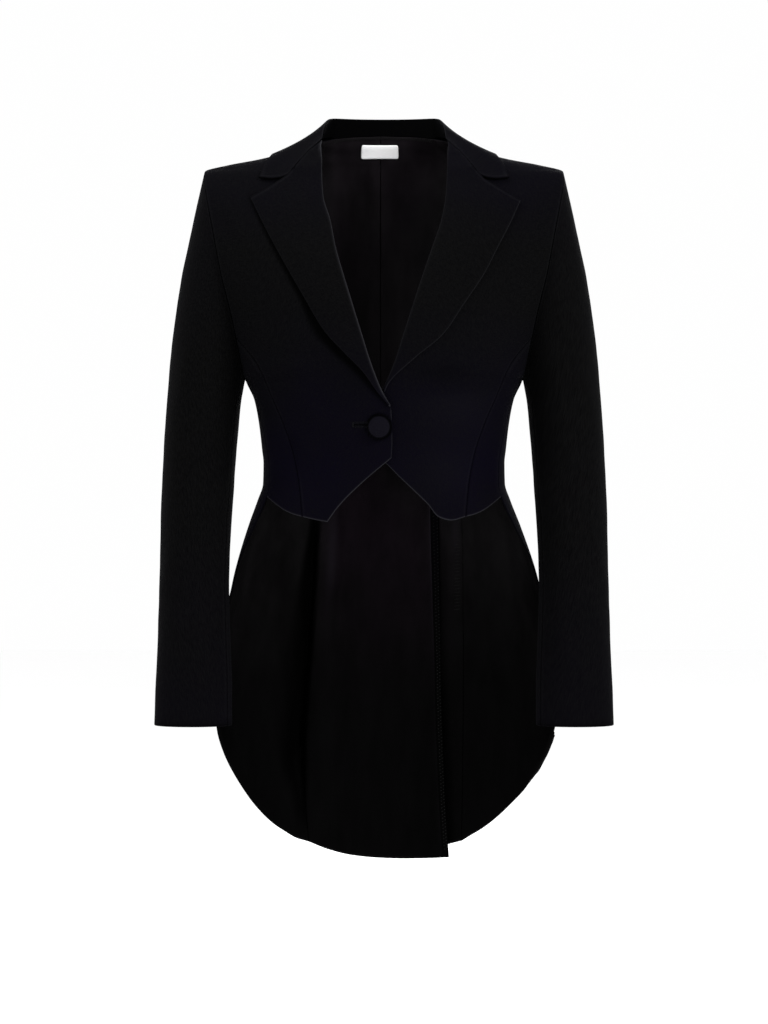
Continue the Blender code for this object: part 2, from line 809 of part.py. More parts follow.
def along_line(points, wanted):
    """Points at wanted shares of the way along a line."""
    points = np.asarray(points, dtype=float)
    run = shares(points)
    return np.stack([curve(run, points[:, 0], wanted), curve(run, points[:, 1], wanted)], axis=-1)


def lapel_grid(side):
    """Outer face of a lapel: the front's own face, lifted in a soft roll along the roll line."""
    pick = 1 if side < 0 else 2
    near = np.stack([side * column(FRONT_EDGE, pick), column(FRONT_EDGE, 0)], axis=-1)
    first = ROLL_STARTS if side < 0 else ROLL_STARTS + 1
    near = near[first:]
    top = np.array(LAPEL_TOP_RIGHT if side < 0 else LAPEL_TOP_LEFT)
    near[-1] = top[0]
    edge = along_line(LAPEL_EDGE_RIGHT if side < 0 else LAPEL_EDGE_LEFT, shares(near))
    bottom = near[0] + np.linspace(0, 1, len(top))[:, None] * (edge[0] - near[0])
    spots = fill(bottom, top, near, edge)
    x, height = side * spots[..., 0], spots[..., 1]
    share = np.linspace(0, 1, len(top))[:, None]
    wide = ramp(np.linspace(0, 1, len(near)), 0.0, 0.35)[None]
    snug = 0.5 + 0.6 * ramp(np.linspace(0, 1, len(near)), 0.6, 0.9)[None]
    clearance = snug + (LAPEL_CLEARANCE - snug) * share
    lift = clearance + LAPEL_ROLL * wide * np.sin(math.pi * share**0.7)
    y = front_surface(side, x, height, lift + FACE_CLOTH)
    return np.stack([x, y, height], axis=-1)


for side, word in SIDES:
    points = turned_out(lapel_grid(side), np.array([0.0, 0.0, -200.0]))
    normals = shared_normals([points], [0.0])[0]
    points = set_back(points, (SEAM_SETBACK,) * 4)
    face = material("lapel_" + word, FACE_COLOUR, 0.85)
    add_wall("lapel_" + word, points, points - FACE_CLOTH * normals, face)

# Collar, cut as a leaf that falls over the neckline and a stand that holds it up
# From the gorge round to the centre back: fold across, place, height, edge across, height,
# whether the edge lies on the back, and how far the middle bellies across, back and up
LEAF_STATIONS = (
    (67.5, -12.5, 35.0, 136.2, -9.0, 0, 0.0, 0.0, 0.0),
    (67.2, -3.0, 43.0, 131.0, 1.5, 0, -4.0, 0.0, 1.0),
    (66.0, 9.0, 50.5, 125.0, 12.0, 0, -8.0, 0.0, -1.0),
    (63.5, 26.0, 57.5, 121.0, 17.5, 1, -9.0, 0.0, -4.0),
    (56.0, 46.0, 61.5, 100.0, 20.0, 1, -3.0, 3.0, -1.0),
    (40.0, 60.0, 63.5, 72.0, 23.0, 1, 0.0, 6.0, 2.0),
    (20.0, 68.0, 64.3, 38.0, 25.5, 1, 0.0, 7.0, 2.0),
    (0.0, 70.0, 64.5, 0.0, 27.0, 1, 0.0, 7.0, 2.0),
)
# Collar's front end, along the gorge and the notch out to the collar tip: across, height
LEAF_END = ((67.5, 35.0), (83.4, 19.2), (98.0, 0.0), (107.6, -9.9), (136.2, -9.0))
LEAF_SHARES = (0.0, 0.3, 0.55, 0.78, 1.0)
LEAF_STANDS_OFF = 3.0
# Stand's lower edge, from its front end round to the centre back: across, place, height
STAND_FOOT = (
    (70.3, -5.0, 36.6),
    (71.7, 4.0, 38.2),
    (69.0, 20.0, 39.6),
    (60.0, 38.5, 42.6),
    (43.0, 52.5, 45.8),
    (22.0, 60.3, 47.8),
    (0.0, 62.3, 48.6),
)
STAND_TOP_IN = 2.5
STAND_TOP_DOWN = 0.9


def leaf_half():
    """Half of the leaf, from its front end to the centre back, for the wearer's left."""
    stations = np.array(LEAF_STATIONS, dtype=float)
    fold = stations[:, :3]
    turns = np.where(
        stations[:, 5] > 0,
        back_turn(stations[:, 3], stations[:, 4]),
        front_turn(stations[:, 3], stations[:, 4]),
    )
    edge = body(turns, stations[:, 4]) + LEAF_STANDS_OFF * body_normal(turns, stations[:, 4])
    control = (fold + edge) / 2 + stations[:, 6:9]
    share = np.array(LEAF_SHARES)[None, :, None]
    points = (1 - share) ** 2 * fold[:, None] + 2 * share * (1 - share) * control[:, None]
    points = points + share**2 * edge[:, None]
    end = np.array(LEAF_END)
    depth = front_surface(1, end[:, 0], end[:, 1], LEAF_STANDS_OFF + 1.0)
    points[0] = np.stack([end[:, 0], depth, end[:, 1]], axis=-1)
    points[0, 0, 1] = fold[0, 1]
    return points


def both_halves(half):
    """A strip made for the wearer's left, carried on over the centre back to the right."""
    return np.concatenate([half, mirrored(half[:-1])[::-1]])


leaf = turned_out(both_halves(leaf_half()), np.array([0.0, 0.0, -100.0]))
leaf_out = shared_normals([leaf], [0.0])[0]
leaf = set_back(leaf, (0.0, 0.0, SEAM_SETBACK, SEAM_SETBACK))
face = material("collar_leaf", FACE_COLOUR, 0.85)
add_wall("collar_leaf", leaf, leaf - FACE_CLOTH * leaf_out, face)

stand_top = np.array(LEAF_STATIONS, dtype=float)[1:, :3]
plan = np.gradient(stand_top[:, :2], axis=0)
inward = np.stack([plan[:, 1], -plan[:, 0]], axis=-1)
inward /= np.linalg.norm(inward, axis=1, keepdims=True)
inward *= np.sign(-np.sum(inward * stand_top[:, :2], axis=1))[:, None]
stand_top[:, :2] += STAND_TOP_IN * inward
stand_top[:, 2] -= STAND_TOP_DOWN
stand_top[-1, 0] = 0.0
foot = np.array(STAND_FOOT)
stand = np.stack([foot, (foot + stand_top) / 2, stand_top], axis=1)
stand = turned_out(both_halves(stand), np.array([0.0, 0.0, 50.0]))
stand_out = shared_normals([stand], [0.0])[0]
face = material("collar_stand", FACE_COLOUR, 0.85)
add_wall("collar_stand", stand, stand - FACE_CLOTH * stand_out, face)

# Neck label: a bare woven tape on the lining below the back neck
LABEL_WIDTH = 41.0
LABEL_HEIGHT = 14.5
LABEL_MIDDLE = (-5.0, 29.0)
LABEL_THICKNESS = 1.0
across = LABEL_MIDDLE[0] + np.linspace(-0.5, 0.5, 6) * LABEL_WIDTH
upward = LABEL_MIDDLE[1] + np.linspace(-0.5, 0.5, 3) * LABEL_HEIGHT
label_x, label_z = np.meshgrid(across, upward, indexing="ij")
label_turn = back_turn(label_x, label_z)
out = body_normal(label_turn, label_z)
sunk = FACE_CLOTH + LAYER_GAP + LINING_CLOTH + 2.3
label_outer = body(label_turn, label_z, edge_face=1) - sunk * out
label_outer = turned_out(label_outer, np.array([0.0, 0.0, 30.0]))
label_inner = label_outer - LABEL_THICKNESS * shared_normals([label_outer], [0.0])[0]
tape = material("neck_label", (0.75, 0.75, 0.74), 0.6)
add_wall("neck_label", label_outer, label_inner, tape)

# Covered button: a domed disc of face cloth with a short shank, seated on the right front
BUTTON_CENTRE = (-5.3, -283.7)
BUTTON_RADIUS = 12.2
BUTTON_SIDES = 24
# radius, distance forward of the cloth
BUTTON_PROFILE = (
    (0.0, 1.0),
    (3.2, 1.0),
    (3.2, 3.0),
    (10.6, 3.0),
    (11.8, 3.7),
    (12.2, 5.0),
    (11.5, 6.4),
    (8.8, 7.9),
    (4.6, 8.8),
    (0.0, 9.1),
)
seat = front_surface(-1, np.array(BUTTON_CENTRE[0]), np.array(BUTTON_CENTRE[1]))
turns = np.arange(BUTTON_SIDES) * 2 * math.pi / BUTTON_SIDES
vertices = [(BUTTON_CENTRE[0], float(seat) - BUTTON_PROFILE[0][1], BUTTON_CENTRE[1])]
for radius, out_by in BUTTON_PROFILE[1:-1]:
    for angle in turns:
        x = BUTTON_CENTRE[0] + radius * math.cos(angle)
        z = BUTTON_CENTRE[1] + radius * math.sin(angle)
        vertices.append((x, float(seat) - out_by, z))
vertices.append((BUTTON_CENTRE[0], float(seat) - BUTTON_PROFILE[-1][1], BUTTON_CENTRE[1]))
faces = []
circles = len(BUTTON_PROFILE) - 2
last = len(vertices) - 1
for k in range(BUTTON_SIDES):
    after = (k + 1) % BUTTON_SIDES
    faces.append((0, 1 + after, 1 + k))
    for level in range(circles - 1):
        low = 1 + level * BUTTON_SIDES
        high = low + BUTTON_SIDES
        faces.append((low + k, low + after, high + after, high + k))
    top_circle = 1 + (circles - 1) * BUTTON_SIDES
    faces.append((top_circle + k, top_circle + after, last))
add_object("button", vertices, faces, material("button", (0.014, 0.014, 0.017), 0.7))
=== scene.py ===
"""A one-button blazer, cut away in front over two pointed hems, with a long rounded tail.

Sizes are in millimetres until a mesh is written. The origin is midway between the two shoulder
tips. +Z is up, +Y is the back of the garment and +X is the wearer's left. A turn is an angle round
the body: 0 at the centre front, 90 at the wearer's left side, 180 at the centre back.
"""

import math

import bpy
import numpy as np
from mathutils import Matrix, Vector


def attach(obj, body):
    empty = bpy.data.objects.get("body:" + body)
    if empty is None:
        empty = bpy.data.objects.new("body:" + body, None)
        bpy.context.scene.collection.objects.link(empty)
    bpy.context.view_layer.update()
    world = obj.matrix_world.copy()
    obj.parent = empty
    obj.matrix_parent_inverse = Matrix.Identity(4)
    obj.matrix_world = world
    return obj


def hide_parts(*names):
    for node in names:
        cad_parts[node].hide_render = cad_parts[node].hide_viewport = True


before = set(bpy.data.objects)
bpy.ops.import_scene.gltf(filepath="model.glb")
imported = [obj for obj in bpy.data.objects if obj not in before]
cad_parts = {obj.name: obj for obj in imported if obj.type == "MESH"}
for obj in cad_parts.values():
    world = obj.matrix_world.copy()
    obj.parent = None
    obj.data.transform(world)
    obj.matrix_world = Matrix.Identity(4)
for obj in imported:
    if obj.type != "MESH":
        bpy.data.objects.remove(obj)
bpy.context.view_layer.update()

# ---- The two fronts ----
# Each front is one panel of black wool crepe, from the shoulder seam to a pointed hem. It is
# backed with fusible canvas, so it hangs smooth, and its cutaway edge and hem are turned in and
# pressed. The right front laps over the left one where they button.
MM = 0.001
FACE_CLOTH = 1.6
FRONT_STEP = 4.0
FRONT_FINE = 2.6
# height, half width, front depth, back depth, side's place, sideways shift
BODY_RINGS = (
    (-775, 193.0, 100, 119, 22, 3.0),
    (-600, 193.0, 100, 116, 22, 3.0),
    (-560, 191.0, 101, 114, 21, 3.0),
    (-526, 186.5, 102, 112, 18, 3.0),
    (-493, 180.0, 103, 109, 14, 2.5),
    (-461, 171.5, 104, 105, 11, 2.0),
    (-434, 164.5, 105, 101, 9, 1.5),
    (-390, 150.0, 106, 94, 4, 0.5),
    (-360, 138.5, 106, 90, 0, 0.0),
    (-343, 133.0, 105, 88, 0, 0.0),
    (-320, 132.5, 106, 88, 0, 0.0),
    (-306, 134.0, 108, 90, 0, 0.0),
    (-280, 137.0, 112, 92, 0, 0.0),
    (-251, 142.5, 118, 95, 0, 0.0),
    (-228, 152.5, 123, 99, 0, 0.0),
    (-206, 156.5, 125, 102, 0, 0.0),
    (-161, 165.5, 121, 106, 0, 0.0),
    (-116, 176.5, 109, 106, 0, 0.0),
    (-70, 185.5, 89, 99, 0, 0.0),
    (-37, 192.0, 71, 92, 0, 0.0),
    (-15, 195.8, 56, 84, 0, 0.0),
    (0, 197.0, 47, 80, 0, 0.0),
    (7, 172.0, 41, 77, 0, 0.0),
    (13, 140.0, 37, 75, 0, 0.0),
    (17.5, 121.0, 35, 73, 0, 0.0),
    (20.5, 110.0, 33, 71, 0, 0.0),
    (25, 98.0, 31, 70, 0, 0.0),
    (30.5, 84.0, 27, 68, 0, 0.0),
    (35, 72.0, 22, 66, 0, 0.0),
    (47, 66.0, 20, 62, 0, 0.0),
)
RING_ROUND = 2.2
# height, how fast a ring falls away towards its side (2 is round, less is flatter)
RING_FALL = (
    (-775, 2.0),
    (-228, 2.0),
    (-206, 1.6),
    (-161, 1.38),
    (-70, 1.38),
    (-37, 1.55),
    (0, 2.0),
    (47, 2.0),
)
ARMHOLE_HALF_HEIGHT = 114.0
ARMHOLE_HALF_DEPTH = 56.0
ARMHOLE_ANGLES = (0, 8, 20, 34, 48, 64, 80, 96, 112, 128, 141, 154, 167, 180)
SIDE_FRONT_JOINS = 128
NECK_POINT = (72.0, 35.0)
# The front edge and roll line, from the lower corner up to the neck point:
# height, right front's edge across, left front's edge across
FRONT_EDGE = (
    (-316.5, 8.0, -4.0),
    (-300.0, 8.9, -8.6),
    (-281.0, 8.4, -8.4),
    (-261.4, 7.4, -8.0),
    (-244.5, -2.1, -1.5),
    (-213.8, -14.2, 11.5),
    (-184.0, -23.5, 21.0),
    (-152.0, -33.3, 31.2),
    (-120.0, -43.0, 41.5),
    (-91.0, -51.2, 51.3),
    (-60.0, -57.4, 61.5),
    (-33.0, -65.2, 66.5),
    (-10.0, -67.0, 68.2),
    (10.0, -67.4, 69.0),
    (25.0, -68.4, 69.8),
    (35.0, -72.0, 72.0),
)
# The cutaway edge and the pointed hem, from the lower corner out to the side-front seam:
# right front across, height, left front across, height
FRONT_HEM = (
    (8.0, -316.5, -4.0, -320.5),
    (-8.5, -330.0, 6.0, -329.5),
    (-23.0, -342.5, 16.5, -339.5),
    (-40.5, -359.0, 32.0, -353.5),
    (-51.5, -371.5, 47.5, -368.0),
    (-60.9, -384.7, 59.0, -380.6),
    (-74.0, -382.3, 72.0, -383.6),
    (-88.0, -379.0, 88.0, -379.0),
)
# the right front comes to a sharp point at this row, the left one is rounded
HEM_POINT_ROW = 5
# The side-front seam, from the hem up to the armhole: across, height
SIDE_FRONT_SEAM = (
    (88.0, -379.0),
    (91.3, -345.0),
    (97.5, -312.0),
    (108.0, -280.0),
    (122.0, -248.0),
    (136.5, -215.0),
)
# The side seam, from the hem up to the underarm: turn, height
SIDE_SEAM = (
    (68.4, -357.3),
    (70.0, -336.0),
    (71.0, -315.0),
    (73.0, -294.0),
    (76.5, -273.0),
    (83.0, -250.0),
    (90.0, -2 * ARMHOLE_HALF_HEIGHT),
)
FRONT_LAP = 5.0
# Soft folds of a front: turn, height at one end, turn, height at the other, half width, rise
FRONT_FOLDS = (
    (22, -292, 50, -232, 15, 1.5),
    (14, -240, 40, -196, 13, -1.2),
    (34, -330, 56, -262, 12, 0.9),
    (30, -360, 44, -300, 10, -0.7),
    (58, -110, 74, -40, 12, -1.0),
    (66, -150, 80, -70, 9, 0.8),
)
FOLD_DEGREE = 2.6


def column(table, number):
    """One column of a table as an array."""
    return np.array([row[number] for row in table], dtype=float)


def curve(known, values, wanted):
    """Cubic pieces through the known values, whose slopes are the weighted harmonic mean of the
    straight slopes on both sides, or 0 at a turning point, so that it never overshoots."""
    known = np.asarray(known, dtype=float)
    values = np.asarray(values, dtype=float)
    wanted = np.clip(np.asarray(wanted, dtype=float), known[0], known[-1])
    step = np.diff(known)
    slope = np.diff(values) / step
    same_way = slope[:-1] * slope[1:] > 0
    before = 2 * step[1:] + step[:-1]
    after = step[1:] + 2 * step[:-1]
    left = np.where(same_way, slope[:-1], 1.0)
    right = np.where(same_way, slope[1:], 1.0)
    mean = (before + after) / (before / left + after / right)
    tangent = np.concatenate([slope[:1], np.where(same_way, mean, 0.0), slope[-1:]])
    place = np.clip(np.searchsorted(known, wanted, side="right") - 1, 0, len(step) - 1)
    width = step[place]
    part = (wanted - known[place]) / width
    held = (1 + 2 * part) * (1 - part) ** 2 * values[place]
    held = held + part**2 * (3 - 2 * part) * values[place + 1]
    leaned = part * (1 - part) ** 2 * tangent[place] + part**2 * (part - 1) * tangent[place + 1]
    return held + width * leaned


def ramp(value, low, high):
    """3p² - 2p³, where p goes from 0 at low to 1 at high."""
    part = np.clip((value - low) / (high - low), 0.0, 1.0)
    return part * part * (3 - 2 * part)


def ring(number, height):
    """One column of the body rings, read at any height."""
    return curve(column(BODY_RINGS, 0), column(BODY_RINGS, number), height)


def half_width(height):
    """The rings' half width at a height, which above 0 runs along the shoulder seam."""
    return ring(1, height)


def armhole_half_depth(height):
    """An ellipse: its half depth times the root of 1 minus the squared share of its half height."""
    part = (np.asarray(height, dtype=float) + ARMHOLE_HALF_HEIGHT) / ARMHOLE_HALF_HEIGHT
    return ARMHOLE_HALF_DEPTH * np.sqrt(np.clip(1 - part**2, 0, None))


def armhole_height(angle):
    """Height on the armhole's ellipse at an angle from its top."""
    return ARMHOLE_HALF_HEIGHT * (np.cos(np.radians(angle)) - 1)


def body(turn, height, edge_face=-1):
    """The garment's outer face. Across, it is the half width times the sine of the turn. Front to
    back, it is the depth times (1 - |sine|^2.2)^(1 / fall), beyond the armhole's half depth."""
    turn = np.asarray(turn, dtype=float)
    height = np.asarray(height, dtype=float)
    across = np.abs(turn)
    face = np.where(across < 90 - 1e-6, -1.0, np.where(across > 90 + 1e-6, 1.0, edge_face))
    opened = armhole_half_depth(height)
    side = ring(4, height)
    depth = np.where(face < 0, ring(2, height) + side, ring(3, height) - side)
    sine = np.clip(np.abs(np.sin(np.radians(turn))), 0, 1)
    fall = curve(column(RING_FALL, 0), column(RING_FALL, 1), height)
    inward = np.clip(1 - sine**RING_ROUND, 0, None) ** (1 / fall)
    x = ring(5, height) + half_width(height) * np.sin(np.radians(turn))
    y = side + face * (opened + (depth - opened) * inward)
    return np.stack([x, y, height], axis=-1)


def front_turn(x, height):
    """The turn of a point on the front: the arc sine of its share of the half width."""
    part = np.clip((x - ring(5, height)) / half_width(height), -1, 1)
    return np.degrees(np.arcsin(part))


def on_ridge(points):
    """Points moved up or down onto the shoulder seam, the rings' own half widths above 0."""
    heights = np.linspace(NECK_POINT[1], 0, 400)
    found = np.interp(points[:, 0], half_width(heights), heights)
    return np.stack([half_width(found), found], axis=-1)


def ridge(count):
    """Points along the shoulder seam, from the neck point to the tip, evenly spaced across."""
    across = np.linspace(NECK_POINT[0], half_width(0.0), count)
    return on_ridge(np.stack([across, across], axis=-1))


def armhole_points(first, last):
    """Armhole points from one joining angle to another: across, height."""
    low, high = min(first, last), max(first, last)
    angles = sorted((a for a in ARMHOLE_ANGLES if low <= a <= high), reverse=first > last)
    heights = armhole_height(np.array(angles, dtype=float))
    return np.stack([half_width(heights), heights], axis=-1)


EDGE_LINES = np.array((0.0, 0.12, 0.4, 0.85, 1.5, 2.6))


def fine_rows(tables, step, close=EDGE_LINES, close_end=EDGE_LINES, unit=1.0):
    """Row numbers at which edge tables are read: evenly about a step apart, and closer at both
    ends. A span is as long as its rows are apart, after each column is multiplied by its unit."""
    units = np.array(unit)
    spans = [np.linalg.norm(np.diff(table, axis=0) * units, axis=1) for table in tables]
    spans = np.mean(spans, axis=0)
    counts = np.maximum(1, np.round(spans / step).astype(int))
    rows = np.concatenate([k + np.arange(n) / n for k, n in enumerate(counts)])
    first = close / spans[0]
    last = len(spans) - close_end[::-1] / spans[-1]
    rows = rows[(rows > first[-1] * 1.5) & (rows < len(spans) - 1.5 * (len(spans) - last[0]))]
    return np.unique(np.concatenate([first, rows, last]))


def read_rows(table, rows, corners=()):
    """A table of points read at fractional row numbers, as smooth curves between its corners."""
    table = np.asarray(table, dtype=float)
    ends = [0, *corners, len(table) - 1]
    found = np.zeros((len(rows), table.shape[1]))
    for first, last in zip(ends, ends[1:]):
        inside = (rows >= first) & (rows <= last)
        piece = table[first : last + 1]
        run = np.concatenate([[0], np.cumsum(np.linalg.norm(np.diff(piece, axis=0), axis=1))])
        wanted = np.interp(rows[inside] - first, np.arange(len(piece)), run)
        found[inside] = np.stack([curve(run, values, wanted) for values in piece.T], axis=-1)
    return found


def shares(points):
    """How far along a line of points each one lies, from 0 to 1."""
    steps = np.linalg.norm(np.diff(points, axis=0), axis=1)
    run = np.concatenate([[0], np.cumsum(steps)])
    return run / run[-1]


def fill(bottom, top, near, far):
    """Points inside four edges: the blend of bottom and top, plus the blend of near and far,
    minus the blend of the four corners."""
    s = ((shares(bottom) + shares(top)) / 2)[:, None, None]
    t = ((shares(near) + shares(far)) / 2)[None, :, None]
    up = (1 - t) * bottom[:, None] + t * top[:, None]
    over = (1 - s) * near[None] + s * far[None]
    low = (1 - s) * bottom[0] + s * bottom[-1]
    high = (1 - s) * top[0] + s * top[-1]
    return up + over - (1 - t) * low - t * high


def fold_rise(turn, height, folds, degree=FOLD_DEGREE):
    """How far soft folds stand out. Each is its rise times exp(-(distance / half width)²), and
    fades at both ends of its line. A degree of turn counts as that many millimetres."""
    rise = np.zeros(np.broadcast(turn, height).shape)
    for turn_a, height_a, turn_b, height_b, width, depth in folds:
        line = np.array([(turn_b - turn_a) * degree, height_b - height_a])
        length = np.hypot(*line)
        across, up = (turn - turn_a) * degree, height - height_a
        along = (across * line[0] + up * line[1]) / length
        off = (across * line[1] - up * line[0]) / length
        fade = ramp(along, -0.2 * length, 0.35 * length) * ramp(-along, -1.2 * length, -0.65 * length)
        rise += depth * np.exp(-((off / width) ** 2)) * fade
    return rise


def rumple(first, second, size):
    """Slow uneven waves, as cloth has: five sines of different lengths, added up to about 1."""
    a, b = first / size, second / size
    waves = np.sin(a * 2.1 + 0.7 * np.sin(b * 1.3)) + 0.8 * np.sin(b * 1.7 + 1.1 * np.sin(a * 0.9))
    waves = waves + 0.6 * np.sin(a * 3.7 + b * 2.3 + 1.0) + 0.5 * np.sin(b * 4.1 - a * 1.9 + 2.0)
    return (waves + 0.35 * np.sin(a * 7.3 - b * 5.1)) / 3.25


def outward_of(points):
    """Unit normals of a grid: the cross product of its two directions."""
    normal = np.cross(np.gradient(points, axis=0), np.gradient(points, axis=1))
    return normal / np.maximum(np.linalg.norm(normal, axis=-1, keepdims=True), 1e-9)


def turned_out(points, core):
    """The grid, reversed across if its normals face the core."""
    facing = np.sum(outward_of(points) * (points - core), axis=-1).sum()
    return points if facing > 0 else points[::-1]


def flat_lengths(points):
    """Flat place of each grid point: lengths summed along the grid's lines from its first ones."""
    across = np.diff(points, axis=0, prepend=points[:1])
    up = np.diff(points, axis=1, prepend=points[:, :1])
    across = np.linalg.norm(across, axis=-1).cumsum(axis=0)
    return across, np.linalg.norm(up, axis=-1).cumsum(axis=1)


def add_piece(name, vertices, faces, flat, painted_light_and_shade, surface):
    """A smooth mesh in metres, with its flat place as a UV map and its painted light and shade as an attribute.
    """
    mesh = bpy.data.meshes.new(name)
    mesh.from_pydata((vertices * MM).tolist(), [], faces)
    mesh.polygons.foreach_set("use_smooth", np.ones(len(faces), dtype=bool))
    corners = np.zeros(len(mesh.loops), dtype=np.int32)
    mesh.loops.foreach_get("vertex_index", corners)
    mesh.uv_layers.new(name="cloth").data.foreach_set("uv", (flat * MM)[corners].ravel())
    edge = mesh.attributes.new("painted_light_and_shade", "FLOAT", "POINT")
    edge.data.foreach_set("value", painted_light_and_shade.astype(np.float32))
    mesh.materials.append(surface)
    mesh.validate()
    made = bpy.data.objects.new(name, mesh)
    bpy.context.scene.collection.objects.link(made)
    return made


def add_cloth(name, outer, thickness, surface, edges=(0, 0, 0, 0), roll=1.4, shade=0.0):
    """A sheet with two faces. Each lies half the thickness from the middle times the root of
    1 - (1 - distance from the edge / roll)², so the faces meet on a round at every edge. Edges
    (bottom, top, near, far) above 0 are pressed folds with a painted highlight along them. Those below
    0 are seams, with painted shade in their groove and a painted highlight on the ridge beside it. The
    shade is painted shadow: how far a place is painted as lying in shadow, and painted light below 0."""
    normal = outward_of(outer)
    middle = outer - normal * thickness / 2
    across, up = flat_lengths(outer)
    sides = np.stack([up, up[:, -1:] - up, across, across[-1:] - across])
    part = np.clip(sides.min(axis=0) / roll, 0, 1)
    half = (thickness / 2 * np.sqrt(1 - (1 - part) ** 2))[..., None]
    edges = np.array(edges, dtype=float).reshape(4, 1, 1)
    fold = np.maximum(edges, 0) * np.exp(-((sides / 0.9) ** 2))
    ridge_highlight = np.exp(-(((sides - 2.6) / 1.1) ** 2))
    seam = np.minimum(edges, 0) * (np.exp(-((sides / 1.0) ** 2)) - 0.07 * ridge_highlight)
    painted_light_and_shade = fold.max(axis=0) + seam.sum(axis=0) - shade
    front = np.arange(outer.shape[0] * outer.shape[1]).reshape(outer.shape[:2])
    back = front.copy()
    inner = back[1:-1, 1:-1]
    inner[...] = front.size + np.arange(inner.size).reshape(inner.shape)
    vertices = np.concatenate(
        [(middle + normal * half).reshape(-1, 3), (middle - normal * half)[1:-1, 1:-1].reshape(-1, 3)]
    )
    flat = np.stack([across, up], axis=-1)
    flat = np.concatenate([flat.reshape(-1, 2), flat[1:-1, 1:-1].reshape(-1, 2)])
    painted_light_and_shade = np.concatenate([painted_light_and_shade.ravel(), painted_light_and_shade[1:-1, 1:-1].ravel()])

    def quads(numbers):
        around = (numbers[:-1, :-1], numbers[1:, :-1], numbers[1:, 1:], numbers[:-1, 1:])
        return np.stack(around, axis=-1).reshape(-1, 4)

    faces = np.concatenate([quads(front), quads(back)[:, ::-1]])
    return add_piece(name, vertices, faces.tolist(), flat, painted_light_and_shade, surface)


def linear(hex_colour):
    """An sRGB hex colour as linear red, green, blue and alpha."""
    parts = [int(hex_colour[k : k + 2], 16) / 255 for k in (1, 3, 5)]
    return (*[p / 12.92 if p <= 0.04045 else ((p + 0.055) / 1.055) ** 2.4 for p in parts], 1.0)


def add_node(tree, kind, settings=None, links=None):
    """Adds a node with its settings, and feeds its inputs from other nodes' outputs."""
    made = tree.nodes.new(kind)
    for name, value in (settings or {}).items():
        if isinstance(name, int) or name in made.inputs:
            made.inputs[name].default_value = value
        else:
            setattr(made, name, value)
    for name, source in (links or {}).items():
        tree.links.new(source, made.inputs[name])
    return made


# Thread spacing of the weave. Real worsted crepe has about 0.4 mm; it is drawn coarser because
# the real one is too fine to show.
THREAD_MM = 1.5


def wool_crepe(name, dark, light, blue, casts):
    """Worsted wool crepe, woven and piece dyed black: matt, with a fine pebbled grain of warp and
    weft. Its colour also carries a faint blue tint by height, painted in for the blue of the light, a
    painted highlight on pressed folds, and painted shade in seams and shadows."""
    surface = bpy.data.materials.new(name)
    surface.use_nodes = True
    tree = surface.node_tree
    shader = tree.nodes["Principled BSDF"]
    flat = add_node(tree, "ShaderNodeUVMap", {"uv_map": "cloth"}).outputs[0]
    thread = 1000 / THREAD_MM
    threads = []
    for stretch in ((thread, thread / 4, 1.0), (thread / 4, thread, 1.0)):
        place = add_node(tree, "ShaderNodeMapping", {"Scale": stretch}, {"Vector": flat})
        settings = {"Scale": 1.0, "Detail": 2.0, "Roughness": 0.6}
        noise = add_node(tree, "ShaderNodeTexNoise", settings, {"Vector": place.outputs[0]})
        threads.append(noise.outputs[0])
    woven = add_node(tree, "ShaderNodeMath", {"operation": "ADD"}, {0: threads[0], 1: threads[1]})
    grain = shifted(tree, woven.outputs[0], 0.75, 1.25, 0.0, 1.0)
    plain = mixed(tree, grain, linear(dark), linear(light))
    where = add_node(tree, "ShaderNodeTexCoord").outputs["Object"]
    height = add_node(tree, "ShaderNodeSeparateXYZ", {}, {0: where}).outputs[2]
    low, high = casts[0][0] * MM, casts[-1][0] * MM
    cast = add_node(
        tree, "ShaderNodeValToRGB", {}, {"Fac": shifted(tree, height, low, high, 0.0, 1.0)}
    )
    points = cast.color_ramp.elements
    for number, (at, amount) in enumerate(casts):
        place = (at * MM - low) / (high - low)
        point = points[number] if number < 2 else points.new(place)
        point.position, point.color = place, (amount, amount, amount, 1.0)
    slow = add_node(tree, "ShaderNodeTexNoise", {"Scale": 9.0, "Detail": 2.0}, {"Vector": where})
    patchy = shifted(tree, slow.outputs[0], 0.35, 0.6, 0.55, 1.0)
    cast = add_node(tree, "ShaderNodeMath", {"operation": "MULTIPLY"}, {0: cast.outputs[0], 1: patchy})
    tinted = mixed(tree, cast.outputs[0], plain, linear(blue))
    tinted = mixed(tree, grain_share(tree, grain), tinted, plain)
    # Painted highlight where the attribute is above 0, and painted shade towards black where it is below 0
    painted_light_and_shade = add_node(tree, "ShaderNodeAttribute", {"attribute_name": "painted_light_and_shade"}).outputs["Fac"]
    painted_highlit = mixed(tree, shifted(tree, painted_light_and_shade, 0.0, 1.0, 0.0, 1.0), tinted, linear(PAINTED_FOLD_HIGHLIGHT))
    painted_shaded = mixed(tree, shifted(tree, painted_light_and_shade, 0.0, -1.0, 0.0, 0.9), painted_highlit, linear("#000000"))
    bump = add_node(
        tree, "ShaderNodeBump", {"Strength": 0.5, "Distance": 0.0005}, {"Height": woven.outputs[0]}
    )
    tree.links.new(painted_shaded, shader.inputs["Base Color"])
    tree.links.new(bump.outputs[0], shader.inputs["Normal"])
    shader.inputs["Roughness"].default_value = 0.85
    shader.inputs["Specular IOR Level"].default_value = 0.008
    shader.inputs["Sheen Weight"].default_value = 0.004
    shader.inputs["Sheen Roughness"].default_value = 0.4
    shader.inputs["Sheen Tint"].default_value = linear("#E4E6F4")
    return surface


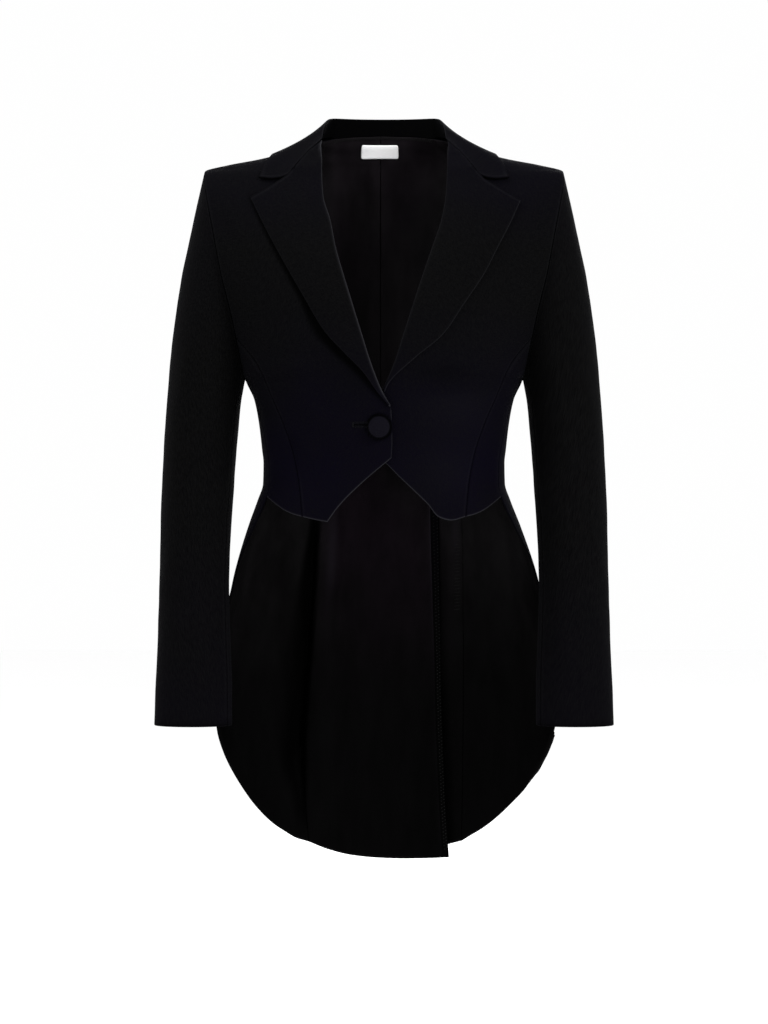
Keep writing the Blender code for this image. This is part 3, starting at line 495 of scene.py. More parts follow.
def shifted(tree, value, low, high, to_low, to_high):
    """A value moved from one range to another, and held inside it."""
    ranges = {"From Min": low, "From Max": high, "To Min": to_low, "To Max": to_high}
    return add_node(tree, "ShaderNodeMapRange", ranges, {"Value": value}).outputs[0]


def mixed(tree, share, first, second):
    """Two colours mixed by a share from 0 to 1. Each is a colour or another node's output."""
    settings, links = {"data_type": "RGBA"}, {0: share}
    for socket, colour in ((6, first), (7, second)):
        (settings if isinstance(colour, tuple) else links)[socket] = colour
    return add_node(tree, "ShaderNodeMix", settings, links).outputs[2]


def grain_share(tree, grain):
    """How much of the plain thread colour shows through the blue cast: only the lightest."""
    return shifted(tree, grain, 0.5, 1.0, 0.0, 0.35)


# Colour of the painted highlight on pressed folds and edges
PAINTED_FOLD_HIGHLIGHT = "#2B2B2E"
# height, share of the painted blue tint of the light
BODY_CASTS = (
    (-520, 0.0),
    (-460, 0.15),
    (-380, 0.7),
    (-320, 1.0),
    (-250, 0.7),
    (-190, 0.25),
    (-150, 0.1),
    (-90, 0.08),
    (-30, 0.45),
    (50, 0.45),
)
face_cloth = wool_crepe("wool_crepe_woven_black", "#030303", "#060606", "#040309", BODY_CASTS)


def front_lift(x, height):
    """How far the right front stands forward of the left one: a ramp across times a ramp down."""
    return FRONT_LAP * ramp(x, -72, -12) * (1 - ramp(height, -225, -150))


def front_folds(turn, height):
    """The fronts' soft folds and the cloth's own slow unevenness, which fade out at the neck, at
    the side seam and at the armhole."""
    rise = fold_rise(turn, height, FRONT_FOLDS) + 0.35 * rumple(turn * FOLD_DEGREE, height, 28.0)
    last = curve(column(SIDE_SEAM, 1), column(SIDE_SEAM, 0), height)
    return rise * ramp(-height, -10, 40) * ramp(last - turn, 0.0, 12.0)


def front_surface(side, x, height, lift=0.0):
    """Place front to back of a point standing off the front's outer face by the lift."""
    turn = front_turn(x, height)
    slope = np.clip(np.abs(body_normal(turn, height)[..., 1]), 0.35, 1.0)
    y = body(turn, height)[..., 1] - (lift + front_folds(np.abs(turn), height)) / slope
    return y - front_lift(x, height) if side < 0 else y


def body_normal(turn, height):
    """Outward direction of the body: the cross product of small steps round and up."""
    around = body(turn + 1.0, height) - body(turn - 1.0, height)
    up = body(turn, height + 0.5) - body(turn, height - 0.5)
    normal = np.cross(around, up)
    return normal / np.linalg.norm(normal, axis=-1, keepdims=True)


def front_points(side):
    """Outer face of a front, -1 for the wearer's right and 1 for the left."""
    pick = 1 if side < 0 else 2
    hem_at = 0 if side < 0 else 2
    near = np.stack([side * column(FRONT_EDGE, pick), column(FRONT_EDGE, 0)], axis=-1)
    bottom = np.stack([side * column(FRONT_HEM, hem_at), column(FRONT_HEM, hem_at + 1)], axis=-1)
    far = np.concatenate([SIDE_FRONT_SEAM, armhole_points(SIDE_FRONT_JOINS, 0)])
    steep = np.array((0.0, 0.02, 0.07, 0.16, 0.32, 0.6, 1.0, 1.6, 2.4, 3.4, 4.8, 6.4))
    across = fine_rows([bottom, ridge(len(bottom))], FRONT_FINE, close_end=steep)
    up = fine_rows([near, far], FRONT_FINE)
    joint = len(SIDE_FRONT_SEAM)
    far = read_rows(far, up, (joint,))
    on_armhole = up >= joint
    far[on_armhole, 0] = half_width(far[on_armhole, 1])
    spots = fill(
        read_rows(bottom, across, (HEM_POINT_ROW,) if side < 0 else ()),
        on_ridge(read_rows(ridge(len(bottom)), across)),
        read_rows(near, up),
        far,
    )
    x, height = side * spots[..., 0], spots[..., 1]
    turn = front_turn(x, height)
    points = body(turn, height)
    points[..., 0] = x
    slope = np.clip(np.abs(body_normal(turn, height)[..., 1]), 0.35, 1.0)
    points[..., 1] -= front_folds(np.abs(turn), height) / slope
    if side < 0:
        points[..., 1] -= front_lift(x, height)
    return points


BODY_CORE = np.array([0.0, 0.0, -200.0])
BUTTON_CENTRE = (-5.3, -283.7)
# Radius and darkness of the painted dark ring round the button
BUTTON_REACH = 13.1
BUTTON_SHADE = 1.0
# The right lapel's outer edge, from the break point up to the tip: across, height
LAPEL_EDGE_RIGHT = (
    (-3.0, -258.0),
    (5.3, -248.9),
    (22.8, -225.2),
    (42.4, -205.4),
    (64.1, -181.3),
    (86.3, -143.9),
    (108.1, -105.4),
    (126.4, -71.3),
    (145.0, -33.0),
)
# The painted shadow where the right lapel stands off: height, full width, width of its fade, darkness
LAPEL_SHADOW = (
    (-262.0, 1.0, 2.5, 0.5),
    (-240.0, 2.5, 5.0, 0.8),
    (-222.0, 4.0, 8.0, 0.95),
    (-190.0, 5.5, 9.0, 1.0),
    (-170.0, 4.5, 6.5, 1.0),
    (-148.0, 3.0, 4.0, 0.97),
    (-95.0, 2.0, 3.0, 0.85),
    (-41.0, 1.0, 2.5, 0.5),
    (-20.0, 1.0, 2.0, 0.0),
)
SIDES = ((-1, "right"), (1, "left"))


def bell(x, height, middle_x, middle_height, wide, high):
    """1 at the middle, falling off both ways as exp(-distance squared)."""
    return np.exp(-(((x - middle_x) / wide) ** 2) - ((height - middle_height) / high) ** 2)


def front_shade(side, x, height):
    """How much painted shadow a front gets, and painted light where it is below 0. The right one
    has a painted dark ring round the button, a patch of painted shade at the waist, and a band of
    painted shadow outside the lapel's edge that is full near it and then fades, 0.85 as wide across a
    slope. The left one has a patch of painted shade above two soft patches of painted highlight."""
    if side > 0:
        painted_patch = 0.3 * bell(x, height, 62, -226, 30, 12)
        return painted_patch - 0.022 * bell(x, height, 80, -262, 40, 26) - 0.02 * bell(x, height, 75, -330, 40, 30)
    from_button = np.hypot(x - BUTTON_CENTRE[0], height - BUTTON_CENTRE[1])
    shade = BUTTON_SHADE * np.exp(-(((from_button - BUTTON_REACH) / 1.3) ** 2))
    edge = curve(column(LAPEL_EDGE_RIGHT, 1), column(LAPEL_EDGE_RIGHT, 0), height)
    off = (-x - edge) * 0.85
    full, fade, dark = (curve(column(LAPEL_SHADOW, 0), column(LAPEL_SHADOW, k), height) for k in (1, 2, 3))
    band = dark * (1 - ramp(off - full, 0 * fade, fade)) * ramp(height, -268, -255)
    painted_patch = 0.3 * bell(x, height, -104, -308, 12, 20)
    return np.maximum(shade, band * ramp(-height, 15, 35)) + painted_patch


def settle(made, node):
    """Hangs a cloth piece on the root, which it rides on, and hides the part it stands for."""
    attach(made, "root")
    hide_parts(node)


for side, word in SIDES:
    points = turned_out(front_points(side), BODY_CORE)
    near_first = abs(points[0, 0, 0]) < 20
    edges = (0.5, -0.3, 0.2, -0.5) if near_first else (0.5, -0.3, -0.5, 0.2)
    # Painted shadow and highlight on the front, painted highlights along the hem and front edge, and painted
    # dark lines along the seams
    shade = front_shade(side, points[..., 0], points[..., 2])
    made = add_cloth("blazer_front_" + word, points, FACE_CLOTH, face_cloth, edges, shade=shade)
    settle(made, "front_" + word)

# ---- The two side fronts ----
# Narrow panels between the curved side-front seam and the side seam, cut from the same crepe.
# The seams that join them give the fronts their bust and waist shape, and are pressed open.
# Side front's hem, from the side-front seam to the side seam: across, height
SIDE_FRONT_HEM = (
    (88.0, -379.0),
    (98.0, -376.4),
    (107.5, -372.2),
    (117.0, -365.8),
)
TURN_UNIT = (2.6, 1.0)


def seam_turns(points, turner):
    """Turn and height of points given as across and height."""
    points = np.asarray(points, dtype=float)
    return np.stack([turner(points[:, 0], points[:, 1]), points[:, 1]], axis=-1)


def sided(side, points):
    """Points made for the wearer's left, moved over to the right when the side asks for it."""
    return points * np.array([-1.0, 1.0, 1.0]) if side < 0 else points


def side_front_points(side):
    """Outer face of a side front, filled in turn and height between its four seams."""
    near = np.concatenate([SIDE_FRONT_SEAM, armhole_points(SIDE_FRONT_JOINS, SIDE_FRONT_JOINS)])
    far = np.array(SIDE_SEAM, dtype=float)
    across_hem = np.concatenate([SIDE_FRONT_HEM, [[half_width(far[0, 1]) * math.sin(math.radians(far[0, 0])), far[0, 1]]]])
    top = armhole_points(SIDE_FRONT_JOINS, 180)
    up = fine_rows([seam_turns(near, front_turn), far], FRONT_STEP, unit=TURN_UNIT)
    across = fine_rows([seam_turns(across_hem, front_turn), seam_turns(top, front_turn)], 3.0, unit=TURN_UNIT)
    top = seam_turns(read_rows(top, across), front_turn)
    top[:, 0] = 90.0
    near = seam_turns(read_rows(near, up), front_turn)
    near[-1, 0] = 90.0
    spots = fill(seam_turns(read_rows(across_hem, across), front_turn), top, near, read_rows(far, up))
    turn, height = spots[..., 0], spots[..., 1]
    points = body(turn, height)
    slope = np.clip(np.abs(body_normal(turn, height)[..., 1]), 0.35, 1.0)
    points[..., 1] -= front_folds(turn, height) / slope
    return sided(side, points)


for side, word in SIDES:
    points = turned_out(side_front_points(side), BODY_CORE)
    # A painted highlight along the hem, and painted dark lines along the armhole and both seams
    seams = (0.5, -0.8, -0.5, -0.5)
    made = add_cloth("blazer_side_front_" + word, points, FACE_CLOTH, face_cloth, seams)
    settle(made, "side_front_" + word)

# ---- Back and tail ----
# Two centre backs and two side backs, each cut in one with its part of the tail. The centre back
# seam opens below the waist into a vent, whose right side runs on as an underlap.
# Side-back seam, from the tail's hem up to the armhole: height, right across, left across
SIDE_BACK_SEAM = (
    (-747.6, -86.0, 89.0),
    (-690.0, -88.5, 90.0),
    (-640.0, -90.0, 90.5),
    (-590.0, -91.0, 91.0),
    (-540.0, -89.5, 91.0),
    (-490.0, -86.5, 90.5),
    (-445.0, -82.5, 90.0),
    (-400.0, -79.0, 89.0),
    (-357.0, -78.0, 87.0),
    (-320.0, -80.0, 86.0),
    (-285.0, -86.0, 89.0),
    (-245.0, -98.0, 99.0),
    (-205.0, -117.0, 117.0),
    (-165.0, -141.0, 141.0),
)
SIDE_BACK_JOINS = 96
# The tail's rounded corner, from the side-back seam out to the free edge:
# across, height on the right, height on the left
TAIL_CORNER = (
    (99.0, -743.5, -740.8),
    (111.0, -736.3, -732.8),
    (126.0, -725.5, -720.5),
    (144.0, -706.5, -702.5),
    (162.0, -679.5, -680.5),
)
# The tail's free edge, from the rounded corner up to the side seam:
# height, turn on the right, turn on the left
TAIL_EDGE = (
    (-645.0, 109.7, 116.0),
    (-612.0, 100.5, 103.0),
    (-570.0, 96.5, 97.0),
    (-530.0, 95.0, 95.0),
    (-495.0, 93.0, 93.0),
    (-460.0, 91.0, 91.0),
    (-430.0, 84.0, 84.0),
    (-395.0, 73.0, 73.0),
)
# Centre back heights from the hem to the neck, matched row by row to the side-back seam
CENTRE_HEIGHTS = (
    (-767, -712, -660, -608, -556, -504, -456, -410)
    + (-372, -338, -290, -250, -208, -167, -126)
    + (-88, -55, -25, 0, 20, 35, 47)
)
CENTRE_BACK_X = -4.0
# Free edge of the vent's underlap: height, across
UNDERLAP_EDGE = (
    (-767.0, 74.0),
    (-745.0, 72.2),
    (-677.0, 68.7),
    (-587.0, 65.4),
    (-480.0, 63.8),
    (-366.0, 62.0),
    (-290.0, 61.0),
)
UNDERLAP_ROW = 9
# Width of the face cloth turned in at the vent: height, width
VENT_FACING = ((-767.0, 6.5), (-560.0, 6.5), (-480.0, 8.0), (-380.0, 9.5), (-290.0, 9.5))
# Tail hem: right side across, height, left side across, height
TAIL_HEM = (
    (74.0, -766.0, -4.0, -761.5),
    (48.0, -767.5, 12.0, -761.0),
    (20.0, -768.0, 27.0, -760.0),
    (-8.0, -767.0, 42.0, -758.0),
    (-36.0, -764.0, 58.0, -755.8),
    (-62.0, -757.5, 74.0, -751.8),
    (-86.0, -747.6, 89.0, -747.6),
)
# Back neckline, from the centre back to the neck point: across, height
BACK_NECK = (
    (0.0, 47.0),
    (30.0, 45.5),
    (56.0, 41.0),
)
TAIL_LAP = 4.4
TAIL_LAP_FOOT = 9.0
# The trough beside the right side-back seam: height, steep wall across, width of its painted dark
# part, width over which that fades, depth, how much painted highlight the roll inside it gets
TROUGH = (
    (-746.5, -86.0, 8.0, 6.0, 0.0, 0.0),
    (-700.0, -88.2, 9.0, 10.0, 5.0, 0.0),
    (-643.0, -88.5, 17.0, 16.0, 12.0, 0.0),
    (-587.0, -86.0, 12.0, 22.0, 13.0, 0.0),
    (-530.0, -81.0, 14.0, 22.0, 13.0, 0.0),
    (-473.5, -77.5, 13.0, 16.0, 10.0, 0.05),
    (-428.0, -74.6, 12.0, 8.0, 7.0, 0.26),
    (-389.0, -72.4, 8.5, 6.0, 4.5, 0.26),
    (-350.0, -71.0, 6.0, 6.0, 0.0, 0.2),
)
ROLL_HEIGHT = 3.5
ROLL_FROM_WALL = 15.0
ROLL_WIDTH = 9.0
# Soft folds of the back: turn, height at one end, turn, height at the other, half width, rise
BACK_FOLDS = (
    (150, -300, 168, -210, 13, -1.3),
    (128, -270, 150, -180, 15, 1.2),
    (140, -330, 170, -318, 9, 1.4),
    (118, -352, 146, -340, 9, -1.3),
    (106, -150, 118, -60, 11, -1.1),
    (150, -90, 172, -20, 14, 0.8),
)


def back_turn(x, height):
    """The turn of a point on the back: a half turn less the arc sine of its share."""
    part = np.clip((x - ring(5, height)) / half_width(height), -1, 1)
    return np.where(part < 0, -1, 1) * 180 - np.degrees(np.arcsin(part))


def from_trough(x, height):
    """Distance outwards from the trough's steep wall, and the other values of its table there."""
    wall, *rest = (curve(column(TROUGH, 0), column(TROUGH, k), height) for k in range(1, 6))
    return wall - x, *rest


def tail_shift(side, x, height):
    """How far the tail stands back. On the left it clears the vent's underlap by a lap that grows
    downwards. On the right it drops steeply into a trough just outside the side-back seam and
    climbs out slowly, beside a bell-shaped roll, and both grow from the waist down."""
    if side > 0:
        lap = TAIL_LAP + (TAIL_LAP_FOOT - TAIL_LAP) * ramp(-height, 380, 640)
        return lap * ramp(-height, 250, 300) * (1 - ramp(x, 78, 122))
    off, full, fade, depth, _ = from_trough(x, height)
    trough = depth * ramp(off, -3.0, 5.0) * (1 - ramp(off, 0.6 * full, full + 1.5 * fade))
    roll = ROLL_HEIGHT * ramp(depth, 0, 6) * np.exp(-(((off + ROLL_FROM_WALL) / ROLL_WIDTH) ** 2))
    return trough - roll


def tail_shade(side, x, height):
    """How much painted shadow the lining gets, and painted light where it is below 0. On the right
    the trough is painted dark from its wall out, the roll beside it gets a bell of painted highlight, a
    thin line of painted light runs beside the vent's facing, and the outer part low down is painted
    darker. On the left the underlap's edge gets a soft painted shadow, and the strip along the
    side-back seam is painted a little lighter just below the front."""
    if side > 0:
        off = x - curve(column(UNDERLAP_EDGE, 0), column(UNDERLAP_EDGE, 1), height)
        dark = (0.35 + 0.5 * ramp(-height, 540, 610)) * ramp(-height, 380, 420)
        strip = 0.2 * np.exp(-(((x - 81.0) / 4.5) ** 2)) * (1 - ramp(-height, 385, 450))
        return dark * (1 - ramp(off, 4.0, 12.0)) - strip * ramp(-height, 330, 370)
    off, full, fade, depth, light = from_trough(x, height)
    dark = ramp(off, -2.5, 1.5) * (1 - ramp(off, full, full + fade)) * ramp(depth, 0, 4)
    caught = light * np.exp(-(((off + ROLL_FROM_WALL) / 5.0) ** 2))
    free = curve(column(UNDERLAP_EDGE, 0), column(UNDERLAP_EDGE, 1), height)
    faced = curve(column(VENT_FACING, 0), column(VENT_FACING, 1), height)
    bound = 0.3 * np.exp(-(((free - faced - 1.0 - x) / 1.2) ** 2)) * ramp(-height, 360, 370)
    low = 0.25 * ramp(-x, 98, 125) * ramp(-height, 520, 600)
    return dark - caught - bound * (1 - 0.8 * ramp(-height, 400, 560)) + low


def neck_shade(x, height):
    """Painted shadow of the collar and of the right front on the lining inside the neck, as the
    product of ramps down and across, less a bell of painted light on the wearer's left."""
    inside = ramp(height, -230, -170)
    under_collar = 0.4 * ramp(height, 5, 38) * ramp(np.abs(x), 10, 50)
    left = 0.38 * (1 - ramp(x, -40, 8))
    lit = 0.07 * np.exp(-(((x - 30) / 24) ** 2) - ((height + 20) / 55) ** 2)
    return inside * (np.maximum(under_collar, left) - lit)


def back_surface(side, turn, height):
    """Outer face of the back at a turn and height, with the tail's shift and the soft folds."""
    points = body(turn, height, edge_face=1)
    points[..., 1] += tail_shift(side, points[..., 0], points[..., 2])
    wide = np.abs(turn)
    rise = fold_rise(wide, height, BACK_FOLDS) + 0.4 * rumple(turn * FOLD_DEGREE, height, 31.0)
    rise = rise * ramp(wide, 94, 112) * ramp(-height, -20, 30)
    slope = np.clip(np.abs(body_normal(turn, height)[..., 1]), 0.35, 1.0)
    points[..., 1] += rise / slope
    return points


def side_back_seam(side):
    """The side-back seam and its armhole end: across, height."""
    across = column(SIDE_BACK_SEAM, 1 if side < 0 else 2)
    lower = np.stack([across, column(SIDE_BACK_SEAM, 0)], axis=-1)
    joint = armhole_points(SIDE_BACK_JOINS, SIDE_BACK_JOINS) * np.array([side, 1.0])
    return np.concatenate([lower, joint])


def centre_back_points(side):
    """Outer face of a centre back, from the tail's hem to the neck and shoulder."""
    heights = np.array(CENTRE_HEIGHTS, dtype=float)
    hem_at = 0 if side < 0 else 2
    bottom = np.stack([column(TAIL_HEM, hem_at), column(TAIL_HEM, hem_at + 1)], axis=-1)
    heights[0] = bottom[0, 1]
    near = np.stack([np.full(len(heights), CENTRE_BACK_X), heights], axis=-1)
    corners = ()
    if side < 0:
        lower = slice(0, UNDERLAP_ROW + 1)
        near[lower, 0] = curve(column(UNDERLAP_EDGE, 0), column(UNDERLAP_EDGE, 1), heights[lower])
        corners = (UNDERLAP_ROW, UNDERLAP_ROW + 1)
    seam = side_back_seam(side)
    armhole = armhole_points(SIDE_BACK_JOINS, 0)[1:] * np.array([side, 1.0])
    far = np.concatenate([seam, armhole])
    shoulder = ridge(4) * np.array([side, 1.0])
    top = np.concatenate([np.array(BACK_NECK) * np.array([side, 1.0]), shoulder])
    top[0, 0] = CENTRE_BACK_X
    steep = np.array((0.0, 0.02, 0.07, 0.16, 0.32, 0.6, 1.0, 1.6, 2.4, 3.4, 4.8, 6.4))
    across = fine_rows([bottom, top], FRONT_STEP, close_end=steep)
    up = fine_rows([near, far], FRONT_STEP)
    joint = len(seam) - 1
    far = read_rows(far, up, (joint,))
    far[up >= joint, 0] = side * half_width(far[up >= joint, 1])
    top = read_rows(top, across, (len(BACK_NECK),))
    on_shoulder = across >= len(BACK_NECK)
    flip = np.array([side, 1.0])
    top[on_shoulder] = on_ridge(top[on_shoulder] * flip) * flip
    spots = fill(read_rows(bottom, across), top, read_rows(near, up, corners), far)
    x, height = spots[..., 0], spots[..., 1]
    points = back_surface(side, back_turn(x, height), height)
    points[..., 0] = x
    return points


def side_back_points(side):
    """Outer face of a side back, cut in one with the side of the tail."""
    near = side_back_seam(side)
    pick = 1 if side < 0 else 2
    corner = np.stack([side * column(TAIL_CORNER, 0), column(TAIL_CORNER, pick)], axis=-1)
    corner = np.concatenate([near[:1], corner])
    edge = np.stack([column(TAIL_EDGE, pick), column(TAIL_EDGE, 0)], axis=-1)
    far = np.concatenate([edge, SIDE_SEAM])
    near_turns = seam_turns(near, back_turn)
    corner_turns = seam_turns(corner, back_turn)
    bottom = np.abs(np.concatenate([corner_turns, edge[:1]])) * np.array([1.0, -1.0])
    top = armhole_points(SIDE_BACK_JOINS, 180)
    up = fine_rows([np.abs(near_turns), np.abs(far)], FRONT_STEP, unit=TURN_UNIT)
    turns_top = seam_turns(top, back_turn)
    across = fine_rows([bottom, turns_top], 3.6, unit=TURN_UNIT)
    top = seam_turns(read_rows(top, across), back_turn)
    top[:, 0] = 90.0
    near = seam_turns(read_rows(near, up), back_turn)
    near[:, 0] = np.abs(near[:, 0])
    near[-1, 0] = 90.0
    spots = fill(read_rows(bottom, across), top, near, read_rows(far, up))
    return back_surface(side, side * spots[..., 0], spots[..., 1])


# Outer face of each back panel, kept for its lining
backs = {}
for side, word in SIDES:
    points = turned_out(centre_back_points(side), BODY_CORE)
    backs["centre_back_" + word] = points
    # Painted dark lines along the seams and top edges, and a faint painted highlight along the hems, on both
    # panels
    seams = (0.12, -0.3, -0.5, -0.5)
    # Painted shade darkens the face cloth along the vent's facing on the right centre back
    faced = 0.62 * ramp(points[..., 0], 40.0, 52.0) * ramp(-points[..., 2], 330, 370) * (side < 0)
    made = add_cloth("blazer_centre_back_" + word, points, FACE_CLOTH, face_cloth, seams, shade=faced)
    settle(made, "centre_back_" + word)
    points = turned_out(side_back_points(side), BODY_CORE)
    backs["side_back_" + word] = points
    seams = (0.12, -0.8, -0.4, -0.4)
    made = add_cloth("blazer_side_back_" + word, points, FACE_CLOTH, face_cloth, seams)
    settle(made, "side_back_" + word)

# ---- Lining of the back and tail ----
# Black acetate satin, cut like the back panels and felled to the hem, the tail's edges and the
# facing of the vent. It is a little loose, so it puckers beside its seams.
LINING_CLOTH = 0.7
LINING_GAP = 0.5
LINING_HEM = 3.2
LINING_SEAM = 0.3
LINING_PUCKER = 1.6


def inset(points, axis, first, last, step):
    """The grid read again between lines drawn in from two opposite edges by distances, which may
    change along the edges. New lines are a step apart, and closer at both ends."""
    lines = np.moveaxis(points, axis, 0)
    steps = np.linalg.norm(np.diff(lines, axis=0), axis=-1)
    run = np.concatenate([np.zeros((1, lines.shape[1])), np.cumsum(steps, axis=0)])
    start = np.broadcast_to(first, run[:1].shape)
    end = run[-1:] - last
    mean = (end - start).mean()
    close = EDGE_LINES / mean
    even = np.linspace(0, 1, int(mean / step) + 1)
    even = even[(even > close[-1] * 1.5) & (even < 1 - close[-1] * 1.5)]
    wanted = np.concatenate([close, even, 1 - close[::-1]])[:, None]
    wanted = start + wanted * (end - start)
    low = np.clip((run[None] <= wanted[:, None]).sum(axis=1) - 1, 0, len(lines) - 2)
    part = wanted - np.take_along_axis(run, low, axis=0)
    part = (part / np.take_along_axis(steps, low, axis=0))[..., None]
    below = np.take_along_axis(lines, low[..., None], axis=0)
    above = np.take_along_axis(lines, low[..., None] + 1, axis=0)
    return np.moveaxis(below + part * (above - below), 0, axis)


def acetate_satin(name, dark, light, plum, sheens, plums):
    """Acetate satin, woven with floating warp threads: a soft, low gloss that runs in streaks along
    the warp, and a painted sheen in its colour, strongest where it falls away below the fronts, with a
    plum tint there; lower down the sheen is painted darker towards the hem. Painted highlights and
    painted shade come from the cloth's attribute."""
    surface = bpy.data.materials.new(name)
    surface.use_nodes = True
    tree = surface.node_tree
    shader = tree.nodes["Principled BSDF"]
    flat = add_node(tree, "ShaderNodeUVMap", {"uv_map": "cloth"}).outputs[0]
    place = add_node(tree, "ShaderNodeMapping", {"Scale": (900.0, 60.0, 1.0)}, {"Vector": flat})
    warp = add_node(
        tree, "ShaderNodeTexNoise", {"Scale": 1.0, "Detail": 2.0}, {"Vector": place.outputs[0]}
    )
    where = add_node(tree, "ShaderNodeTexCoord").outputs["Object"]
    noises = []
    for scale in ((24.0, 24.0, 4.0), (8.0, 8.0, 6.0), (60.0, 60.0, 22.0)):
        place = add_node(
            tree, "ShaderNodeMapping", {"Location": (5.3, 2.0, 1.7), "Scale": scale}, {"Vector": where}
        )
        noises.append(
            add_node(
                tree, "ShaderNodeTexNoise", {"Scale": 1.0, "Detail": 2.0}, {"Vector": place.outputs[0]}
            ).outputs[0]
        )
    streak, blotch, crumple = noises
    along, _, height = add_node(tree, "ShaderNodeSeparateXYZ", {}, {0: where}).outputs
    ramps = []
    for table in (sheens, plums):
        low, high = table[0][0] * MM, table[-1][0] * MM
        ramped = add_node(
            tree, "ShaderNodeValToRGB", {}, {"Fac": shifted(tree, height, low, high, 0.0, 1.0)}
        )
        points = ramped.color_ramp.elements
        for number, (at, amount) in enumerate(table):
            place = (at * MM - low) / (high - low)
            point = points[number] if number < 2 else points.new(place)
            point.position, point.color = place, (amount, amount, amount, 1.0)
        ramps.append(ramped.outputs[0])
    tone = add_node(tree, "ShaderNodeMath", {"operation": "ADD"}, {0: streak, 1: crumple})
    tone = shifted(tree, tone.outputs[0], 0.6, 1.45, 0.0, 1.0)
    plain = mixed(tree, tone, linear(dark), linear(light))
    patchy = shifted(tree, blotch, 0.4, 0.58, 0.3, 1.0)
    wide = add_node(tree, "ShaderNodeMath", {"operation": "ABSOLUTE"}, {0: along})
    middle = shifted(tree, wide.outputs[0], 0.05, 0.085, 1.0, 0.0)
    patchy = add_node(tree, "ShaderNodeMath", {"operation": "MULTIPLY"}, {0: patchy, 1: middle})
    tint = add_node(
        tree, "ShaderNodeMath", {"operation": "MULTIPLY"}, {0: ramps[1], 1: patchy.outputs[0]}
    )
    tinted = add_node(
        tree, "ShaderNodeMix", {"data_type": "RGBA", "blend_type": "MULTIPLY", 7: linear(plum)},
        {0: tint.outputs[0], 6: plain},
    ).outputs[2]
    sheened = mixed(tree, ramps[0], linear("#000000"), tinted)
    # Painted highlight where the attribute is above 0, and painted shade towards black where it is below 0
    painted_light_and_shade = add_node(tree, "ShaderNodeAttribute", {"attribute_name": "painted_light_and_shade"}).outputs["Fac"]
    caught = mixed(tree, shifted(tree, painted_light_and_shade, 0.0, 1.0, 0.0, 1.0), sheened, linear(CAUGHT_LIGHT))
    shaded = mixed(tree, shifted(tree, painted_light_and_shade, 0.0, -1.0, 0.0, 0.97), caught, linear("#000000"))
    gloss = shifted(tree, warp.outputs[0], 0.0, 1.0, 0.42, 0.62)
    bump = add_node(
        tree, "ShaderNodeBump", {"Strength": 0.15, "Distance": 0.0003}, {"Height": warp.outputs[0]}
    )
    tree.links.new(shaded, shader.inputs["Base Color"])
    tree.links.new(gloss, shader.inputs["Roughness"])
    tree.links.new(bump.outputs[0], shader.inputs["Normal"])
    shader.inputs["Specular IOR Level"].default_value = 0.006
    return surface


# Colour of the painted highlight on the lining
CAUGHT_LIGHT = "#1C191F"
# height, share of the satin's painted sheen, mixed up from black, so lower shares paint it darker
LINING_SHEENS = (
    (-770, 0.08),
    (-650, 0.08),
    (-560, 0.1),
    (-470, 0.22),
    (-400, 0.42),
    (-300, 0.5),
    (-180, 1.0),
    (-60, 0.9),
)
# height, share of plum tint
LINING_PLUMS = (
    (-770, 0.0),
    (-600, 0.05),
    (-520, 0.6),
    (-400, 1.0),
    (-250, 0.5),
    (-60, 0.45),
)
satin = acetate_satin(
    "acetate_satin_woven_black", "#0E0D0E", "#1B1A1B", "#FFDDFF", LINING_SHEENS, LINING_PLUMS
)


def puckered(points, axis):
    """The lining's looseness: slow waves plus small ripples that fade away from the two seams."""
    across, up = flat_lengths(points)
    height = points[..., 2]
    waves = 0.5 + 0.5 * rumple(points[..., 0] * 1.6, height * 0.45, 17.0)
    ripple = 0.5 + 0.5 * rumple(points[..., 0], height * 1.8, 9.0)
    seam = np.minimum(across, across[-1:] - across)
    near_seam = np.exp(-seam / 9.0) + 0.25
    rise = waves * 0.65 + ripple * near_seam * 0.35
    edge = np.minimum.reduce([seam, up, up[:, -1:] - up])
    return rise * LINING_PUCKER * ramp(edge, 0.0, 9.0)


for side, word in SIDES:
    for panel in ("centre_back_", "side_back_"):
        points = backs[panel + word]
        points = points - (FACE_CLOTH + LINING_GAP) * outward_of(points)
        heights = points[0 if abs(points[0, 9, 0]) < abs(points[-1, 9, 0]) else -1, :, 2][None]
        wide_first = abs(points[0, 9, 0]) > abs(points[-1, 9, 0])
        if panel == "centre_back_":
            faced = curve(column(VENT_FACING, 0), column(VENT_FACING, 1), heights)
            faced = np.where((heights < -300) & (side < 0), faced, LINING_SEAM)
            centre_first = abs(points[0, -1, 0]) < abs(points[-1, -1, 0])
            margins = (faced, LINING_SEAM) if centre_first else (LINING_SEAM, faced)
        else:
            edge = points[0 if wide_first else -1, :, 2][None]
            free = np.where(edge < SIDE_SEAM[0][1] - 20, LINING_HEM, LINING_SEAM)
            margins = (free, LINING_SEAM) if wide_first else (LINING_SEAM, free)
        points = inset(points, 0, *margins, 3.2)
        points = inset(points, 1, LINING_HEM, LINING_SEAM, 4.0)
        points = points - puckered(points, 0)[..., None] * outward_of(points)
        name = "lining_" + panel + word
        # Painted shadow and painted light on the lining, and faint painted dark lines along its seams
        shade = tail_shade(side, points[..., 0], points[..., 2])
        shade = shade + neck_shade(points[..., 0], points[..., 2])
        seams = (0, 0, -0.1, -0.1)
        made = add_cloth("blazer_" + name, points, LINING_CLOTH, satin, seams, 1.0, shade)
        settle(made, name)

# ---- Vent stitching ----
# Spun polyester thread. Two rows of overcast stitches hold the facing and the lining together along
# the vent's underlap, and a felling stitch runs beside the left side-back seam.
STITCH_SIDES = 6
